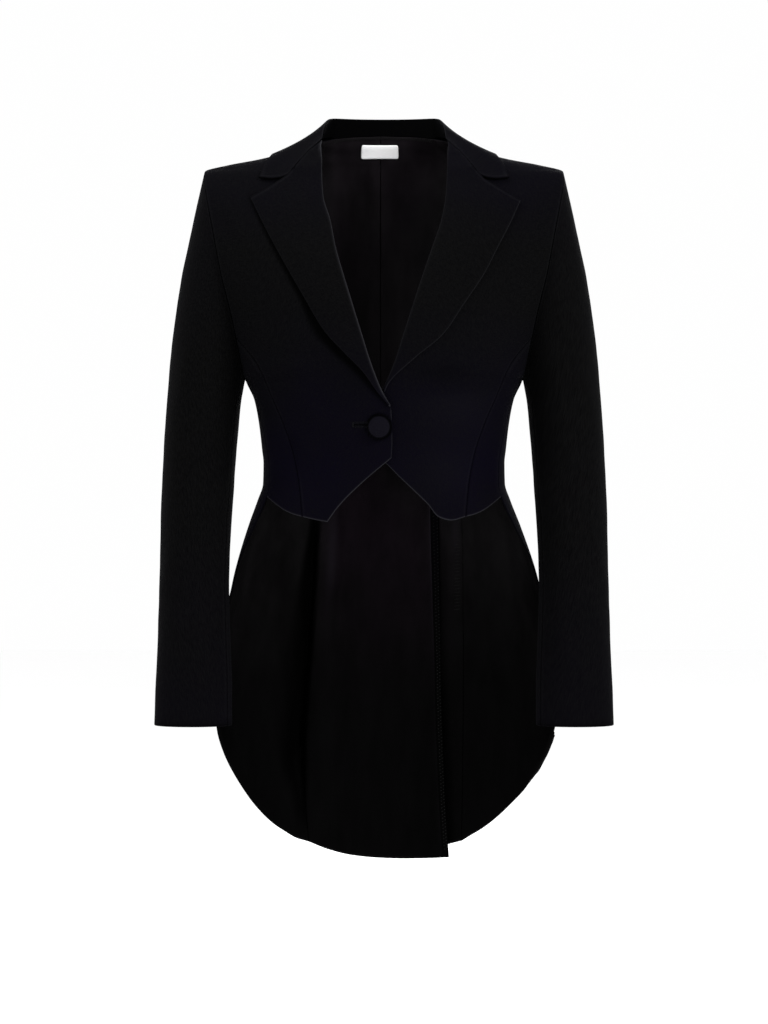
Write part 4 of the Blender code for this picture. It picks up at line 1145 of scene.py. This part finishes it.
# place along a stitch, share of its thickness
STITCH_SHAPE = ((0.0, 0.3), (0.12, 0.8), (0.5, 1.0), (0.88, 0.8), (1.0, 0.3))
THREAD_RADIUS = 0.42


def spun_thread(name, dark, light):
    """Spun thread: dull, with a fine light and dark twist along it."""
    surface = bpy.data.materials.new(name)
    surface.use_nodes = True
    tree = surface.node_tree
    shader = tree.nodes["Principled BSDF"]
    where = add_node(tree, "ShaderNodeTexCoord").outputs["Object"]
    twist = add_node(tree, "ShaderNodeTexNoise", {"Scale": 1400.0, "Detail": 1.0}, {"Vector": where})
    tone = mixed(tree, twist.outputs[0], linear(dark), linear(light))
    tree.links.new(tone, shader.inputs["Base Color"])
    shader.inputs["Roughness"].default_value = 0.6
    shader.inputs["Specular IOR Level"].default_value = 0.02
    return surface


def add_stitches(name, starts, ends, radius, surface, node):
    """Stitches as spindles of a few faces: rings round each line, thinner at both ends."""
    line = ends - starts
    side_a = np.cross(line, (0.0, 1.0, 0.0))
    side_a /= np.linalg.norm(side_a, axis=-1, keepdims=True)
    side_b = np.cross(line, side_a)
    side_b /= np.linalg.norm(side_b, axis=-1, keepdims=True)
    shape = np.array(STITCH_SHAPE)
    turn = np.arange(STITCH_SIDES) * 2 * math.pi / STITCH_SIDES
    middle = starts[:, None] + shape[:, :1] * line[:, None]
    around = np.cos(turn)[:, None] * side_a[:, None] + np.sin(turn)[:, None] * side_b[:, None]
    vertices = middle[:, :, None] + radius * shape[:, 1][:, None, None] * around[:, None]
    numbers = np.arange(vertices.size // 3).reshape(vertices.shape[:3])
    nexts = np.roll(numbers, -1, axis=2)
    faces = np.stack([numbers[:, :-1], nexts[:, :-1], nexts[:, 1:], numbers[:, 1:]], axis=-1)
    faces = faces.reshape(-1, 4)[:, ::-1].tolist()
    faces += numbers[:, 0].tolist() + numbers[:, -1, ::-1].tolist()
    vertices = vertices.reshape(-1, 3)
    flat = vertices[:, [0, 2]]
    made = add_piece(name, vertices, faces, flat, np.zeros(len(vertices)), surface)
    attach(made, "root")
    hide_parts(node)


def on_back(x, height, side, inside):
    """Points inside the back's outer face by a distance, at places across and heights."""
    turn = back_turn(x, height)
    points = back_surface(side, turn, height)
    points[..., 0] = x
    return points - inside * body_normal(turn, height)


thread = spun_thread("polyester_thread_spun_black", "#0A0A0A", "#171717")
STITCH_PITCH = 3.9
heights = np.arange(-755.0, -368.0, STITCH_PITCH)
free = curve(column(UNDERLAP_EDGE, 0), column(UNDERLAP_EDGE, 1), heights)
width = curve(column(VENT_FACING, 0), column(VENT_FACING, 1), heights)
starts, ends = [], []
for share, lower in ((0.2, 0.0), (0.62, 1.9)):
    across = free - width * share
    starts.append(on_back(across - 0.8, heights - lower, -1, FACE_CLOTH + 0.25))
    ends.append(on_back(across + 0.8, heights - lower + 0.7, -1, FACE_CLOTH + 0.25))
starts, ends = np.concatenate(starts), np.concatenate(ends)
node = "centre_back_right"
add_stitches("blazer_vent_stitches", starts, ends, THREAD_RADIUS, thread, node)
heights = np.arange(-484.0, -372.0, STITCH_PITCH)
inside = FACE_CLOTH + LINING_GAP + LINING_CLOTH + 0.6
starts = on_back(0 * heights + 80.0, heights, 1, inside)
ends = on_back(0 * heights + 87.0, heights + 0.8, 1, inside)
node = "lining_centre_back_left"
fine = THREAD_RADIUS * 0.55
add_stitches("blazer_felling_stitches", starts, ends, fine, thread, node)

# ---- Sleeves ----
# Set-in two-piece sleeves of the same crepe: a wide top sleeve and a narrow under sleeve, joined
# by the forearm and hind-arm seams. The head is eased into the armhole over a light pad.
SLEEVE_STEP = 4.0
# inner across, inner height, outer across, outer height, centre's place front to back, half depth
SLEEVE_SLICES = (
    (152.5, -228.0, 197.0, 0.0, 0.0, 56.0),
    (153.8, -234.0, 203.0, -26.0, 0.0, 57.5),
    (155.3, -242.0, 213.0, -72.0, 0.0, 59.0),
    (157.0, -252.0, 223.0, -118.0, 0.0, 60.0),
    (158.5, -264.0, 230.0, -166.0, -1.0, 60.0),
    (160.0, -282.0, 235.3, -214.0, -2.0, 58.0),
    (162.0, -307.0, 239.0, -262.0, -3.0, 55.5),
    (164.5, -344.0, 242.6, -320.0, -4.0, 53.0),
    (167.7, -392.0, 245.0, -384.0, -6.0, 48.8),
    (169.8, -450.0, 246.1, -450.0, -10.0, 45.3),
    (168.3, -506.0, 247.5, -508.0, -16.5, 42.6),
    (166.2, -560.0, 249.2, -562.0, -25.5, 39.3),
    (165.5, -606.0, 250.3, -606.0, -34.0, 36.5),
)
# how much of the armhole's own shape the first slices keep
SLEEVE_HEAD = (1.0, 0.55, 0.2, 0.0)
FOREARM_SEAM = 154
HIND_ARM_SEAM = -64
# Soft folds: angle, height at one end, angle, height at the other, half width, rise
SLEEVE_FOLDS = (
    (150, -330, 96, -392, 9, 1.3),
    (156, -372, 108, -420, 8, -1.2),
    (140, -290, 92, -330, 11, -0.9),
    (60, -410, 20, -470, 13, 0.8),
    (120, -500, 84, -560, 12, 0.8),
    (70, -120, 62, -250, 12, 1.0),
    (98, -140, 92, -260, 11, -1.0),
    (212, -330, 262, -388, 9, 1.3),
    (206, -362, 250, -424, 8, -1.3),
    (296, -150, 288, -270, 13, -1.1),
    (318, -420, 286, -480, 12, 0.9),
)
SLEEVE_DEGREE = 0.85
# height, share of the painted blue tint of the light
SLEEVE_CASTS = (
    (-610, 0.55),
    (-520, 0.4),
    (-400, 0.1),
    (-200, 0.08),
    (-100, 0.2),
    (0, 0.45),
)
sleeve_cloth = wool_crepe("wool_crepe_woven_black_sleeve", "#020202", "#070707", "#040307", SLEEVE_CASTS)


def sleeve_points(side, first, last):
    """Outer face of part of a sleeve, between two angles that run from the outer side over the
    front: the slice's middle, plus its reach times the cosine, plus its half depth times the
    sine. The head's slices are drawn towards the armhole's ellipse."""
    turn = np.array([[first, 0.0], [last, 0.0]])
    places = fine_rows([turn], SLEEVE_STEP, unit=(SLEEVE_DEGREE, 1.0))
    angles = (first + (last - first) * places)[:, None]
    table = np.array(SLEEVE_SLICES, dtype=float)
    slices = np.arange(len(table), dtype=float)
    middle_line = np.stack([(table[:, 0] + table[:, 2]) / 2, (table[:, 1] + table[:, 3]) / 2], axis=-1)
    down = fine_rows([middle_line], SLEEVE_STEP)
    inner_x, inner_z, outer_x, outer_z, centre, depth = (
        curve(slices, values, down)[None] for values in table.T
    )
    cosine, sine = np.cos(np.radians(angles)), np.sin(np.radians(angles))
    x = (inner_x + outer_x) / 2 + cosine * (outer_x - inner_x) / 2
    z = (inner_z + outer_z) / 2 + cosine * (outer_z - inner_z) / 2
    points = np.stack([x, centre - sine * depth, z], axis=-1)
    heights = armhole_height(angles)
    loop_y = armhole_half_depth(heights) * -np.sign(np.where(np.abs(sine) < 1e-9, 0, sine))
    loop = np.stack([half_width(heights), loop_y, heights], axis=-1)
    keep = curve(np.arange(len(SLEEVE_HEAD)), SLEEVE_HEAD, np.minimum(down, len(SLEEVE_HEAD) - 1))
    points = points + keep[None, :, None] * (loop - points[:, :1])
    turns = (angles - 360, angles, angles + 360)
    rise = sum(fold_rise(t, points[..., 2], SLEEVE_FOLDS, SLEEVE_DEGREE) for t in turns)
    rise = rise + 0.35 * rumple(points[..., 1] + 1.7 * points[..., 0], points[..., 2], 26.0)
    rise = rise * ramp(down, 0.2, 2.0)[None] * ramp(-down, 1 - len(table), 1.4 - len(table))[None]
    normal = outward_of(points)
    core = np.stack([(inner_x + outer_x) / 2, centre, (inner_z + outer_z) / 2], axis=-1)
    normal = normal * np.sign(np.sum(normal * (points - core), axis=-1))[..., None]
    return sided(side, points + rise[..., None] * normal)


for side, word in SIDES:
    core = np.array([side * 203.0, -10.0, -300.0])
    parts = (("top_sleeve_", HIND_ARM_SEAM, FOREARM_SEAM), ("under_sleeve_", FOREARM_SEAM, 360 + HIND_ARM_SEAM))
    for panel, first, last in parts:
        points = sleeve_points(side, first, last)
        normal = outward_of(points)
        middle = len(points) // 2, points.shape[1] // 2
        away = points[middle] - core
        away[2] = 0
        if np.dot(normal[middle], away) < 0:
            points = points[::-1]
        # Painted dark seams round the armhole and along both sleeve seams, a faint painted highlight on the
        # cuff's fold, and a band of painted shadow along the cuff's edge over it
        seams = (-0.9, 0.25, -0.4, -0.4)
        up = flat_lengths(points)[1]
        shade = 0.7 * np.exp(-(((up[:, -1:] - up) / 3.2) ** 2)) * ramp(-points[..., 2], 20, 190)
        made = add_cloth("blazer_" + panel + word, points, FACE_CLOTH, sleeve_cloth, seams, shade=shade)
        settle(made, panel + word)

# ---- Lapels ----
# The turned-back top of each front and its facing, two layers of crepe pressed flat at the outer
# edge and left as a soft roll along the roll line. They are joined to the collar at the gorge.
# Gorge seam and lapel top, from the roll line out to the lapel tip: across, height
LAPEL_TOP_RIGHT = (
    (67.5, 33.5),
    (83.4, 19.2),
    (98.0, 0.0),
    (105.0, -8.0),
    (126.0, -22.0),
    (145.0, -33.0),
)
LAPEL_TOP_LEFT = (
    (69.0, 33.0),
    (83.4, 19.2),
    (98.0, 0.0),
    (108.2, -12.0),
    (128.0, -24.5),
    (148.3, -36.3),
)
NOTCH_ROW = 3
# The left lapel's outer edge, from the break point up to the tip: across, height
LAPEL_EDGE_LEFT = (
    (0.5, -246.5),
    (3.5, -240.0),
    (31.8, -211.8),
    (62.7, -185.6),
    (86.5, -151.0),
    (107.7, -119.0),
    (123.0, -89.0),
    (137.0, -61.6),
    (148.3, -36.3),
)
LAPEL_CLOTH = 2.0
LAPEL_STEP = 3.0
ROLL_RADIUS = 4.5
BREAK_ROWS = (3, 4)
# painted highlight along the roll line, stronger on the wearer's right, which faces the light, and its reach
ROLL_GLINT = {"right": 0.75, "left": 0.1}
ROLL_ARC = 2.6


def lapel_points(side):
    """Outer face of a lapel. It leaves the front at the roll line on a quarter round, arches over
    it, and comes down to its outer edge, which stands furthest off below the bust on the right."""
    right = side < 0
    first = BREAK_ROWS[0] if right else BREAK_ROWS[1]
    near = np.stack([side * column(FRONT_EDGE, 1 if right else 2), column(FRONT_EDGE, 0)], axis=-1)
    near = near[first:]
    top = np.array(LAPEL_TOP_RIGHT if right else LAPEL_TOP_LEFT)
    near[-1] = top[0]
    edge = np.array(LAPEL_EDGE_RIGHT if right else LAPEL_EDGE_LEFT)
    up = fine_rows([near], LAPEL_STEP)
    near = read_rows(near, up)
    run = np.concatenate([[0], np.cumsum(np.linalg.norm(np.diff(edge, axis=0), axis=1))])
    wanted = shares(near) * run[-1]
    edge = np.stack([curve(run, values, wanted) for values in edge.T], axis=-1)
    across = fine_rows([top], LAPEL_STEP)
    top = read_rows(top, across, (NOTCH_ROW,))
    bottom = near[0] + shares(top)[:, None] * (edge[0] - near[0])
    spots = fill(bottom, top, near, edge)
    x, height = side * spots[..., 0], spots[..., 1]
    share = shares(top)[:, None]
    along = shares(near)[None]
    width = np.linalg.norm(spots[-1:] - spots[:1], axis=-1)
    wide = ramp(along, 0.0, 0.35)
    belly = 4.5 * np.exp(-(((along - 0.2) / 0.13) ** 2)) if right else 0.6 * wide
    clearance = 1.1 + belly * share**1.5
    lift = clearance + 2.2 * wide * np.sin(math.pi * share**0.8)
    rolled = np.clip(share * width / ROLL_RADIUS, 0, 1)
    rolled = np.sqrt(1 - (1 - rolled) ** 2)
    tip = ramp(along, 0.9, 1.0)
    lift = (lift + LAPEL_CLOTH) * (rolled + (1 - rolled) * tip)
    y = front_surface(side, x, height, lift)
    return np.stack([x, y, height], axis=-1)


for side, word in SIDES:
    points = turned_out(lapel_points(side), BODY_CORE)
    roll_first = abs(points[0, points.shape[1] // 2, 0]) < abs(points[-1, points.shape[1] // 2, 0])
    across = flat_lengths(points)[0]
    from_roll = across if roll_first else across[-1:] - across
    # A faint painted highlight along the outer edge, a painted dark line along the top, and a painted glint
    # along the roll line
    outer = 0.05 if side < 0 else 0.16
    glint = -ROLL_GLINT[word] * np.exp(-((from_roll / ROLL_ARC) ** 2))
    edges = (0, -0.7, 0, outer) if roll_first else (0, -0.7, outer, 0)
    name = "blazer_lapel_" + word
    made = add_cloth(name, points, LAPEL_CLOTH, face_cloth, edges, 1.6, glint)
    settle(made, "lapel_" + word)

# ---- Collar ----
# Cut in two parts: a stand that rises round the back of the neck, and a leaf that folds over its
# top and falls on the shoulders down to the notch. Its edges are bagged out and pressed.
# From the gorge round to the centre back: fold across, place, height, edge across, height,
# whether the edge lies on the back, and how far the middle bellies across, back and up
LEAF_STATIONS = (
    (67.5, -12.5, 35.0, 136.2, -10.8, 0, 0.0, 0.0, 0.0),
    (67.2, -3.0, 43.0, 131.0, 1.5, 0, -4.0, 0.0, 1.0),
    (66.0, 9.0, 52.0, 125.0, 12.0, 0, -8.0, 0.0, 0.5),
    (63.5, 26.0, 60.0, 121.0, 17.5, 1, -9.0, 0.0, -3.0),
    (58.0, 44.0, 64.5, 100.0, 20.0, 1, -3.0, 3.0, 0.5),
    (40.0, 60.0, 65.6, 72.0, 23.0, 1, 0.0, 6.0, 2.0),
    (20.0, 68.0, 66.0, 38.0, 25.5, 1, 0.0, 7.0, 2.0),
    (0.0, 70.0, 66.1, 0.0, 27.0, 1, 0.0, 7.0, 2.0),
)
# Collar's front end, along the gorge and the notch out to the collar tip: across, height
LEAF_END = (
    (67.5, 35.0),
    (83.4, 19.2),
    (98.0, 0.5),
    (103.5, -8.0),
    (111.0, -11.2),
    (122.0, -12.4),
    (136.2, -10.8),
)
LEAF_END_SHARES = (0.0, 0.3, 0.5, 0.61, 0.7, 0.82, 1.0)
LEAF_STANDS_OFF = 3.0
# Stand's lower edge, from its front end round to the centre back: across, place, height
STAND_FOOT = (
    (70.3, -5.0, 36.6),
    (71.7, 4.0, 38.2),
    (69.0, 20.0, 39.6),
    (60.0, 38.5, 42.6),
    (43.0, 52.5, 45.8),
    (22.0, 60.3, 47.8),
    (0.0, 62.3, 48.6),
)
COLLAR_STEP = 3.0
STAND_TOP_IN = 1.2
STAND_TOP_DOWN = 0.4
FOOT_BELOW_NECK = 1.2
FOOT_INSIDE_NECK = 1.0


def both_halves(half):
    """A strip made for the wearer's left, carried on over the centre back to the right."""
    return np.concatenate([half, (half[:-1] * np.array([-1.0, 1.0, 1.0]))[::-1]])


def leaf_half():
    """Half of the leaf: at each station a quadratic curve from the fold, past a belly point, to the
    edge. Near the front the curves bend over to the straight gorge end."""
    table = np.array(LEAF_STATIONS, dtype=float)
    on_back = table[:, 5] > 0
    turns = np.where(
        on_back, back_turn(table[:, 3], table[:, 4]), front_turn(table[:, 3], table[:, 4])
    )
    edge = body(turns, table[:, 4]) + LEAF_STANDS_OFF * body_normal(turns, table[:, 4])
    control = (table[:, :3] + edge) / 2 + table[:, 6:9]
    rows = fine_rows([edge], COLLAR_STEP)
    rows = np.unique(np.concatenate([rows[rows < len(table) - 1.02], [len(table) - 1.0]]))
    numbers = np.arange(len(table), dtype=float)
    fold, control, edge = (
        np.stack([curve(numbers, values, rows) for values in part.T], axis=-1)[:, None]
        for part in (table[:, :3], control, edge)
    )
    width = 60.0
    share = np.concatenate([EDGE_LINES / width, np.linspace(0, 1, 22)[2:-2], 1 - EDGE_LINES[::-1] / width])
    share = share[None, :, None]
    points = (1 - share) ** 2 * fold + 2 * share * (1 - share) * control + share**2 * edge
    end = np.array(LEAF_END)
    end_run = np.array(LEAF_END_SHARES)
    end = np.stack([np.interp(share[0, :, 0], end_run, values) for values in end.T], axis=-1)
    depth = front_surface(1, end[:, 0], end[:, 1], LEAF_STANDS_OFF + 1.0)
    depth = depth + (points[0, 0, 1] - depth[0]) * (1 - ramp(share[0, :, 0], 0.0, 0.3))
    end = np.stack([end[:, 0], depth, end[:, 1]], axis=-1)
    bend = (1 - np.clip(rows, 0, 1)) ** 1.5
    return points + bend[:, None, None] * (end - points[0])[None]


leaf = turned_out(both_halves(leaf_half()), np.array([0.0, 0.0, -100.0]))
# A faint painted highlight along the fold, and painted dark lines along the outer edge and both ends
edges = (0.2, -0.6, -0.8, -0.8)
made = add_cloth("blazer_collar_leaf", leaf, LAPEL_CLOTH, face_cloth, edges, roll=1.5)
settle(made, "collar_leaf")

stations = np.array(LEAF_STATIONS, dtype=float)[1:, :3]
plan = np.gradient(stations[:, :2], axis=0)
inward = np.stack([plan[:, 1], -plan[:, 0]], axis=-1)
inward /= np.linalg.norm(inward, axis=1, keepdims=True)
inward *= np.sign(-np.sum(inward * stations[:, :2], axis=1))[:, None]
stand_top = stations.copy()
stand_top[:, :2] += STAND_TOP_IN * inward
stand_top[:, 2] -= STAND_TOP_DOWN
stand_top[-1, 0] = 0.0
rows = fine_rows([np.array(STAND_FOOT)], COLLAR_STEP)
rows = np.unique(np.concatenate([rows[rows < len(STAND_FOOT) - 1.02], [len(STAND_FOOT) - 1.0]]))
foot = read_rows(STAND_FOOT, rows)
neck = np.minimum(foot[:, 0], BACK_NECK[-1][0])
neck_height = curve(column(BACK_NECK, 0), column(BACK_NECK, 1), neck) - FOOT_BELOW_NECK
neck_place = body(back_turn(neck, neck_height), neck_height, edge_face=1)[:, 1] - FOOT_INSIDE_NECK
on_neck = 1 - ramp(foot[:, 0], BACK_NECK[-1][0] - 4, BACK_NECK[-1][0] + 8)
foot[:, 1] += on_neck * (neck_place - foot[:, 1])
foot[:, 2] += on_neck * (neck_height - foot[:, 2])
crest = read_rows(stand_top, rows)
rise = np.concatenate([EDGE_LINES / 16, np.linspace(0, 1, 9)[2:-2], 1 - EDGE_LINES[::-1] / 16])
stand = foot[:, None] + rise[None, :, None] * (crest - foot)[:, None]
stand = turned_out(both_halves(stand), np.array([0.0, 0.0, 50.0]))
# A darker copy of the crepe, and painted shadow over all of it, paint the shade under the collar leaf onto the
# stand
painted_shade_cloth = wool_crepe("wool_crepe_woven_black_painted_shade", "#010101", "#020202", "#010102", BODY_CASTS)
made = add_cloth("blazer_collar_stand", stand, FACE_CLOTH, painted_shade_cloth, shade=0.6)
settle(made, "collar_stand")

# A row of zigzag stitches catches the lining's neck edge to the stand.
ZIGZAG_WIDTH = 3.6
ZIGZAG_PITCH = 2.4
across = np.arange(-60.0, 60.1, ZIGZAG_PITCH / 2)
foot = curve(column(STAND_FOOT, 0)[::-1], column(STAND_FOOT, 2)[::-1], np.abs(across))
heights = foot - 3.4 + ZIGZAG_WIDTH / 2 * (-1.0) ** np.arange(len(across))
inside = FACE_CLOTH + LINING_GAP + LINING_CLOTH + 2.0
line = on_back(across, heights, 1, inside)
node = "collar_stand"
add_stitches("blazer_neck_stitches", line[:-1], line[1:], 0.3, thread, node)

# ---- Neck label ----
# A bare white label of woven satin tape, folded at its ends and stitched to the lining just below
# the back neck. Its corners are turned in, so they look slightly cut off.
LABEL_WIDTH = 43.6
LABEL_HEIGHT = 15.6
LABEL_MIDDLE = (-5.0, 30.2)
LABEL_TAPE = 0.7
LABEL_CORNER = 0.035


def label_points():
    """The tape's outer face on the lining: a rectangle whose sides draw in near its corners by the
    eighth power of the distance from its middle."""
    u = np.linspace(-1, 1, 45)[:, None]
    v = np.linspace(-1, 1, 19)[None]
    x = LABEL_MIDDLE[0] + LABEL_WIDTH / 2 * u * (1 - LABEL_CORNER * v**8)
    z = LABEL_MIDDLE[1] + LABEL_HEIGHT / 2 * v * (1 - 2 * LABEL_CORNER * u**24)
    turn = back_turn(x, z)
    sunk = FACE_CLOTH + LINING_GAP + LINING_CLOTH + LINING_PUCKER + LABEL_TAPE + 0.5
    bulge = 0.5 * (1 - u**4) * (1 - v**4)
    return body(turn, z, edge_face=1) - (sunk + bulge)[..., None] * body_normal(turn, z)


tape = bpy.data.materials.new("polyester_satin_tape_woven_white")
tape.use_nodes = True
tree = tape.node_tree
shader = tree.nodes["Principled BSDF"]
flat = add_node(tree, "ShaderNodeUVMap", {"uv_map": "cloth"}).outputs[0]
placed = add_node(tree, "ShaderNodeMapping", {"Scale": (250.0, 1600.0, 1.0)}, {"Vector": flat})
rib = add_node(tree, "ShaderNodeTexNoise", {"Scale": 1.0, "Detail": 2.0}, {"Vector": placed.outputs[0]})
white = add_node(
    tree,
    "ShaderNodeMix",
    {"data_type": "RGBA", 6: linear("#C4C4C6"), 7: linear("#DCDCDC")},
    {0: rib.outputs[0]},
)
bump = add_node(tree, "ShaderNodeBump", {"Strength": 0.2, "Distance": 0.0002}, {"Height": rib.outputs[0]})
tree.links.new(white.outputs[2], shader.inputs["Base Color"])
tree.links.new(bump.outputs[0], shader.inputs["Normal"])
shader.inputs["Roughness"].default_value = 0.5
points = turned_out(label_points(), np.array([0.0, 400.0, 30.0]))
made = add_cloth("blazer_neck_label", points, LABEL_TAPE, tape, (1, 1, 1, 1), roll=1.0)
settle(made, "neck_label")

# ---- Covered button ----
# A domed metal shell covered with the same crepe, drawn tight and gathered under its rim. Its
# shank passes through the buttonhole and is sewn to the left front.
BUTTON_SIDES = 96
# radius, distance forward of the cloth
BUTTON_PROFILE = (
    (0.05, 1.0),
    (3.2, 1.0),
    (3.3, 2.6),
    (9.6, 2.7),
    (11.3, 3.2),
    (12.2, 4.6),
    (12.0, 5.9),
    (10.6, 7.2),
    (7.6, 8.4),
    (4.0, 8.95),
    (0.05, 9.1),
)
profile = read_rows(BUTTON_PROFILE, np.linspace(0, len(BUTTON_PROFILE) - 1, 70), (1, 2))
seat = float(front_surface(-1, np.array(BUTTON_CENTRE[0]), np.array(BUTTON_CENTRE[1])))
around = np.arange(BUTTON_SIDES) * 2 * math.pi / BUTTON_SIDES
ring_x = BUTTON_CENTRE[0] + profile[:, :1] * np.cos(around)
ring_z = BUTTON_CENTRE[1] + profile[:, :1] * np.sin(around)
ring_y = seat - profile[:, 1:] + 0 * around
vertices = np.stack([ring_x, ring_y, ring_z], axis=-1)
numbers = np.arange(vertices.shape[0] * BUTTON_SIDES).reshape(vertices.shape[:2])
nexts = np.roll(numbers, -1, axis=1)
faces = np.stack([numbers[:-1], nexts[:-1], nexts[1:], numbers[1:]], axis=-1).reshape(-1, 4)
flat = np.stack([ring_x, ring_z], axis=-1).reshape(-1, 2)
# Painted dark ring on the underside of the button's rim
painted_rim_shade = -ramp(profile[:, 0], 10.6, 11.8) * ramp(profile[:, 1], 2.0, 3.0)
painted_rim_shade = np.repeat(painted_rim_shade, BUTTON_SIDES)
# height, share of the painted blue tint of the light, full over the whole button
BUTTON_CASTS = ((-300, 1.0), (-290, 1.0), (-270, 1.0))
button_cloth = wool_crepe(
    "wool_crepe_stretched_black", "#060609", "#0B0B0F", "#09080D", BUTTON_CASTS
)
caps = [numbers[0][::-1].tolist(), numbers[-1].tolist()]
faces = faces.tolist() + caps
made = add_piece("blazer_button", vertices.reshape(-1, 3), faces, flat, painted_rim_shade, button_cloth)
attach(made, "root")
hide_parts("button")

# ---- Buttonhole ----
# A slit across the right front, closed round with purl stitches in black thread and a bar at its
# outer end. The button covers its inner end.
SLIT_HEIGHT = -281.2
SLIT_ENDS = (-32.2, -15.0)
SLIT_HALF = 0.55
PURL_LENGTH = 2.9
PURL_PITCH = 1.35


def on_front(x, height, lift):
    """Points standing off the right front's outer face by the lift."""
    return np.stack([x, front_surface(-1, x, height, lift), height], axis=-1)


across = np.arange(*SLIT_ENDS, PURL_PITCH)
rows = [(across, SLIT_HEIGHT + k * SLIT_HALF, SLIT_HEIGHT + k * (SLIT_HALF + PURL_LENGTH)) for k in (-1, 1)]
bar = np.full(4, SLIT_ENDS[0] - 1.2) + np.array((0.0, 0.7, -0.2, 0.5))
rows.append((bar, SLIT_HEIGHT - PURL_LENGTH, SLIT_HEIGHT + PURL_LENGTH))
starts = np.concatenate([on_front(x, 0 * x + low, 0.25) for x, low, _ in rows])
ends = np.concatenate([on_front(x, 0 * x + high, 0.25) for x, _, high in rows])
purl = spun_thread("polyester_thread_corded_black", "#040405", "#0A0A0D")
add_stitches("blazer_buttonhole", starts, ends, 0.45, purl, "front_right")
# The slit is a thin black spindle of the painted-shade crepe, standing in for the shade inside the cut
slit = np.linspace(*SLIT_ENDS, 8)
slit = on_front(slit, np.full(8, SLIT_HEIGHT), 0.1)
add_stitches("blazer_buttonhole_slit_shade", slit[:-1], slit[1:], 0.7, painted_shade_cloth, "front_right")

# ---- Room ----
# A plain pale floor below the hem and a white room, lit by three large soft lights: the key high
# on the right of the picture, a weaker one on the left, and one over the shoulders.
FLOOR_HEIGHT = -1.05
FLOOR_REACH = 12.0
floor_mesh = bpy.data.meshes.new("floor")
floor_corners = [
    (x * FLOOR_REACH, y * FLOOR_REACH, FLOOR_HEIGHT) for x, y in ((-1, -1), (1, -1), (1, 1), (-1, 1))
]
floor_mesh.from_pydata(floor_corners, [], [(0, 1, 2, 3)])
floor = bpy.data.objects.new("floor", floor_mesh)
bpy.context.scene.collection.objects.link(floor)
paint = bpy.data.materials.new("matt_white_floor_paint")
paint.use_nodes = True
tree = paint.node_tree
where = add_node(tree, "ShaderNodeTexCoord").outputs["Object"]
slow = add_node(tree, "ShaderNodeTexNoise", {"Scale": 0.8, "Detail": 1.0}, {"Vector": where})
white = add_node(
    tree,
    "ShaderNodeMix",
    {"data_type": "RGBA", 6: linear("#FCFCFC"), 7: linear("#FEFEFE")},
    {0: slow.outputs[0]},
)
tree.links.new(white.outputs[2], tree.nodes["Principled BSDF"].inputs["Base Color"])
tree.nodes["Principled BSDF"].inputs["Roughness"].default_value = 0.9
floor_mesh.materials.append(paint)

world = bpy.data.worlds.new("white_room")
world.use_nodes = True
world.node_tree.nodes["Background"].inputs["Color"].default_value = (1.0, 1.0, 1.0, 1.0)
world.node_tree.nodes["Background"].inputs["Strength"].default_value = 0.995
bpy.context.scene.world = world

AIM = Vector((0.0, 0.0, -0.35))
# name, place, size in metres, power in watts
LIGHTS = (
    ("key_light", (2.1, -2.0, 1.1), 1.4, 105.0),
    ("fill_light", (-2.6, -2.0, 0.6), 1.6, 26.0),
    ("top_light", (-0.9, -0.1, 1.9), 1.6, 72.0),
    ("back_light", (0.6, 2.8, 1.2), 1.8, 60.0),
)
for name, place, size, power in LIGHTS:
    light = bpy.data.lights.new(name, "AREA")
    light.size = size
    light.energy = power
    lamp = bpy.data.objects.new(name, light)
    lamp.location = place
    lamp.rotation_euler = (AIM - Vector(place)).to_track_quat("-Z", "Y").to_euler()
    bpy.context.scene.collection.objects.link(lamp)

CAMERA_DISTANCE = 3.5
CAMERA_HEIGHT = -0.374
VIEW_HEIGHT = 1.1264
camera = bpy.data.cameras.new("camera")
camera.sensor_width = 36.0
camera.lens = camera.sensor_width * CAMERA_DISTANCE / VIEW_HEIGHT
camera_object = bpy.data.objects.new("camera", camera)
camera_object.location = (0.0, -CAMERA_DISTANCE, CAMERA_HEIGHT)
camera_object.rotation_euler = (math.pi / 2, 0.0, 0.0)
bpy.context.scene.collection.objects.link(camera_object)
bpy.context.scene.camera = camera_object
bpy.context.scene.view_settings.view_transform = "Standard"
